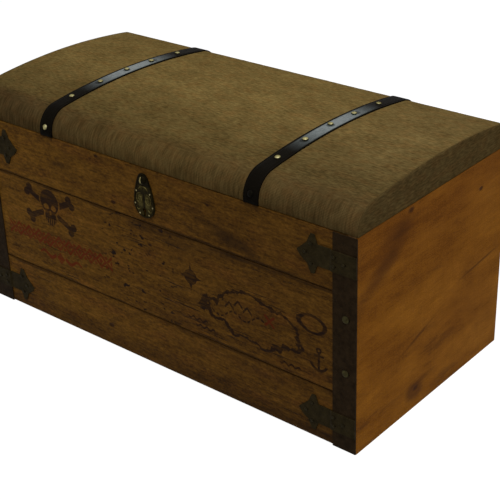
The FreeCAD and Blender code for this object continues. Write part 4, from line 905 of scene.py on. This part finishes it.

# End cloths: a piece of the same hessian on each gable, cut to the arch and turned under it, given
# darker colours than the cover as painted shade.

foot = HEM_FOOT + CLOTH
corner = HALF_DEPTH - CLOTH
outline = np.concatenate([[[-corner, foot]], lid_arch(-CLOTH)[0], [[corner, foot]]])
turn, _ = arc((HALF_WIDTH - CLOTH, foot), CLOTH, 0, -math.pi / 2, 3)
under = np.concatenate([[[HALF_WIDTH - HEM_REACH, HEM_FOOT]], turn[::-1]])
hem_rows = len(under)
levels = np.linspace(0, 1, 15)
inner = abs(outline[:, 0]) < HALF_DEPTH - HEM_REACH + 1e-6
# Painted shade: the same hessian in darker colours than the cover.
shaded_end_cloth = hessian_finish("hessian_end", shade(103, 86, 51), shade(81, 66, 38), shade(58, 47, 25))
for word, side in (("left", -1), ("right", 1)):
    face = np.zeros((hem_rows + len(levels), len(outline), 3))
    face[:hem_rows, :, 0] = side * under[:, :1]
    face[:hem_rows, :, 1] = np.clip(outline[:, 0], -HALF_DEPTH + HEM_REACH, HALF_DEPTH - HEM_REACH)
    face[:hem_rows, :, 2] = under[:, 1:]
    face[hem_rows:, :, 0] = side * HALF_WIDTH
    face[hem_rows:, :, 1] = outline[:, 0]
    face[hem_rows:, :, 2] = foot + (outline[:, 1] - foot) * levels[:, None]
    flat = np.zeros(face.shape[:2] + (2,))
    flat[:, :, 0] = face[:, :, 1] + HALF_DEPTH
    flat[:, :, 1] = face[:, :, 2] - HEM_FOOT
    flat[:hem_rows, :, 1] = abs(face[:hem_rows, :, 0]) - HALF_WIDTH
    piece = grid_piece(f"hessian_end_{word}", face[:, ::side], flat[:, ::side], shaded_end_cloth,
                       keep=lambda row, column: row >= hem_rows or (inner[column] and inner[column + 1]))
    piece.modifiers.new("thickness", "SOLIDIFY").thickness = CLOTH
    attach(piece, "lid")
    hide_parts(f"cloth_end_{word}")

# Lid straps: black harness leather over the cloth, edges rounded and creased, polished by hands
# along the crown and dull at the ends; where polished, a blue-green painted sheen tints its colour.

STRAP_THICKNESS, EDGE_ROUND = 0.0025, 0.0009
CREASE_INSET, CREASE_HALF, CREASE_DEEP = 0.0031, 0.0005, 0.0004
NAIL_PITCH, NAIL_LEAD = 0.074, 0.013


def leather_finish(name, length):
    finish = Finish(name, {"Specular IOR Level": 0.005, "Coat Roughness": 0.2, "Coat IOR": 3.0,
                           "Coat Tint": (0.8, 0.97, 1.0, 1.0)})
    across, along = finish.sheet_place()
    hide = finish.point(across, along)
    grains = finish.add("TexVoronoi", {"feature": "F1"}, {"Vector": hide, "Scale": 900.0})
    creases = finish.noise(hide, (160.0, 700.0, 1.0), 3.0, 0.6)
    scuffs = finish.fade(finish.noise(hide, (60.0, 25.0, 1.0), 4.0, 0.65), 0.55, 0.8)
    colour = finish.ramp(creases, [(0.3, shade(9, 8, 5)), (0.75, shade(18, 14, 9))])
    colour = finish.mix(scuffs * 0.3, colour, shade(32, 27, 20))
    rubs = finish.fade(finish.noise(hide, (300.0, 90.0, 1.0), 3.0, 0.65), 0.32, 0.6)
    from_crown = along - length / 2
    nearest = abs((from_crown + NAIL_LEAD + NAIL_PITCH / 2) % NAIL_PITCH - NAIL_PITCH / 2)
    beside = across - STRAP_WIDTH / 2
    ring = finish.fade((nearest * nearest + beside * beside) ** 0.5, 0.009, 0.0055)
    inside_edges = finish.fade(abs(beside - 0.0015), STRAP_WIDTH / 2 - 0.0025, STRAP_WIDTH / 2 - 0.0055)
    polish_and_sheen = finish.fade(abs(from_crown + 0.004), 0.13, 0.015) * inside_edges
    polish_and_sheen = polish_and_sheen * (1 - scuffs * 0.4) * (1 - ring * 0.6) * (0.7 + rubs * 0.3)
    # Painted sheen: the polished middle of the strap is coloured blue-green to stand in for its shine.
    colour = finish.mix(polish_and_sheen * 0.8, colour, shade(20, 50, 47))
    finish.surface(colour, 0.5 + scuffs * 0.2 - polish_and_sheen * 0.1, grains * 0.5 + creases * 0.5, 0.0004,
                   **{"Coat Weight": polish_and_sheen * 0.68})
    return finish


strap_foot, foot_facing = np.array([[-HALF_DEPTH, HEM_FOOT]]), np.array([[-1.0, 0.0]])
strap_spots, strap_facing = with_ends(strap_foot, foot_facing, *lid_arch(0.0))
strap_length = run_length(strap_spots)
strap_leather = leather_finish("strap_leather", float(strap_length[-1]))
half, top = STRAP_WIDTH / 2, STRAP_THICKNESS
crease = half - CREASE_INSET
side_of_strap = [(half, 0.0), (half, top - EDGE_ROUND), (half - EDGE_ROUND / 3, top - EDGE_ROUND / 3),
                 (half - EDGE_ROUND, top), (crease + CREASE_HALF, top), (crease, top - CREASE_DEEP),
                 (crease - CREASE_HALF, top), (half / 2, top)]
strap_section = np.array([(-across, up) for across, up in side_of_strap]
                         + [(0.0, top)] + side_of_strap[::-1] + [(0.0, 0.0)])
strap_across, strap_up = strap_section.T
strap_lift = np.tile(strap_up, (len(strap_spots), 1))
for word, side in (("left", -1), ("right", 1)):
    strap = grid_piece(f"leather_strap_{word}",
                       drawn_out(strap_spots, strap_facing, side * STRAP_X + strap_across, strap_lift),
                       flat_places(strap_across + half, strap_length), strap_leather, closed=True)
    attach(strap, "lid")
    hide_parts(f"lid_strap_{word}")

# Strap nails: dome heads of pale brass in a row down the middle of each strap, driven through it into
# the staves and worn bright on top. The lowest one on the front of the right strap has gone black.


def front_right_black(brass, place, colour, metal):
    x, y, z = brass.split(place)
    black = brass.fade(x, -0.1, 0.1) * brass.fade(y, 0.1, -0.1) * brass.fade(z, 0.435, 0.425)
    return brass.mix(black, colour, shade(10, 8, 5)), metal - black * 0.8


strap_brass = brass_finish("strap_nail_brass", shade(168, 162, 120), shade(110, 101, 66), shade(28, 22, 13),
                           aged=front_right_black)
drive_nails("strap_nail_heads", "strap_nails", "lid", strap_brass,
            radius=0.0055, crown=0.003, dents=0.0004, seed=2)

# Butt hinges and lid stay: plain bent and stamped steel. The hinge leaves are let into the top back
# plank and the lid's back rail, and the stay is screwed to the left end board and gable.

fitting_steel = steel_finish("fitting_steel", shade(104, 98, 88), shade(52, 46, 38))
coat(fitting_steel, *named("hinge_leaf", "hinge_pin", "stay_stud_plate", "stay_pivot_plate", "stay_arm"))

# Stage: a pale floor that keeps the chest's soft shadow, white all round, one large soft lamp from
# the upper right, and the photograph's camera.

FLOOR_HALF = 9
PAPER_LIT, PAPER_SEEN = 0.5, 0.95
GLOW, GLOW_SHARE = 1.12, 0.85
ROOM_LIT, ROOM_SEEN = 0.34, 1.0
LAMP_WIDE, LAMP_DEEP, LAMP_POWER = 2.0, 1.6, 88
LAMP_PLACE, LAMP_AIM = (1.1, -0.8, 3.15), (0, 0, 0.25)
CAMERA_PLACE = (1.39856, -1.57143, 1.24532)
CAMERA_RIGHT = (0.767212, 0.640618, -0.031535)
CAMERA_UP = (-0.275836, 0.373933, 0.885488)
CAMERA_BACK = (0.579052, -0.670658, 0.463591)
FOCAL_PIXELS, FRAME_PIXELS = 1233.77, 500


def white_when_seen(finish):
    """1 for rays from the camera, in reflections and through glass, 0 for those that light the chest."""
    ways = ("Camera", "Glossy", "Transmission")
    return finish.most(*[finish.add("LightPath", {}, [], output=f"Is {way} Ray") for way in ways])


floor_mesh = bpy.data.meshes.new("floor")
floor_corners = [(x * FLOOR_HALF, y * FLOOR_HALF, 0) for x, y in ((-1, -1), (1, -1), (1, 1), (-1, 1))]
floor_mesh.from_pydata(floor_corners, [], [(0, 1, 2, 3)])
paper = Finish("pale_floor", {})
paper.tree.nodes.remove(paper.shader)
seen = white_when_seen(paper)
matt = paper.add("BsdfDiffuse", {}, {"Color": PAPER_LIT + seen * (PAPER_SEEN - PAPER_LIT)})
glow = paper.add("Emission", {}, {"Strength": GLOW})
both = paper.add("MixShader", {}, [seen * GLOW_SHARE, matt, glow])
paper.feed(paper.tree.nodes["Material Output"], {"Surface": both})
floor_mesh.materials.append(paper.material)
stand("floor", floor_mesh)

scene = bpy.context.scene
scene.view_settings.view_transform = "Standard"
scene.world = bpy.data.worlds.new("studio")
room = Finish("studio", {"Color": (1, 1, 1, 1)}, scene.world, "Background")
room.feed(room.shader, {"Strength": ROOM_LIT + white_when_seen(room) * (ROOM_SEEN - ROOM_LIT)})

lamp = bpy.data.lights.new("soft_lamp", "AREA")
lamp.shape = "RECTANGLE"
lamp.size, lamp.size_y = LAMP_WIDE, LAMP_DEEP
lamp.energy = LAMP_POWER
key = stand("soft_lamp", lamp)
key.location = LAMP_PLACE
key.rotation_mode = "QUATERNION"
key.rotation_quaternion = (Vector(LAMP_AIM) - key.location).to_track_quat("-Z", "Y")

lens = bpy.data.cameras.new("camera")
lens.sensor_width = 36
lens.lens = lens.sensor_width * FOCAL_PIXELS / FRAME_PIXELS
camera = stand("camera", lens)
turned = Matrix((CAMERA_RIGHT, CAMERA_UP, CAMERA_BACK)).transposed().to_4x4()
camera.matrix_world = Matrix.Translation(CAMERA_PLACE) @ turned
scene.camera = camera
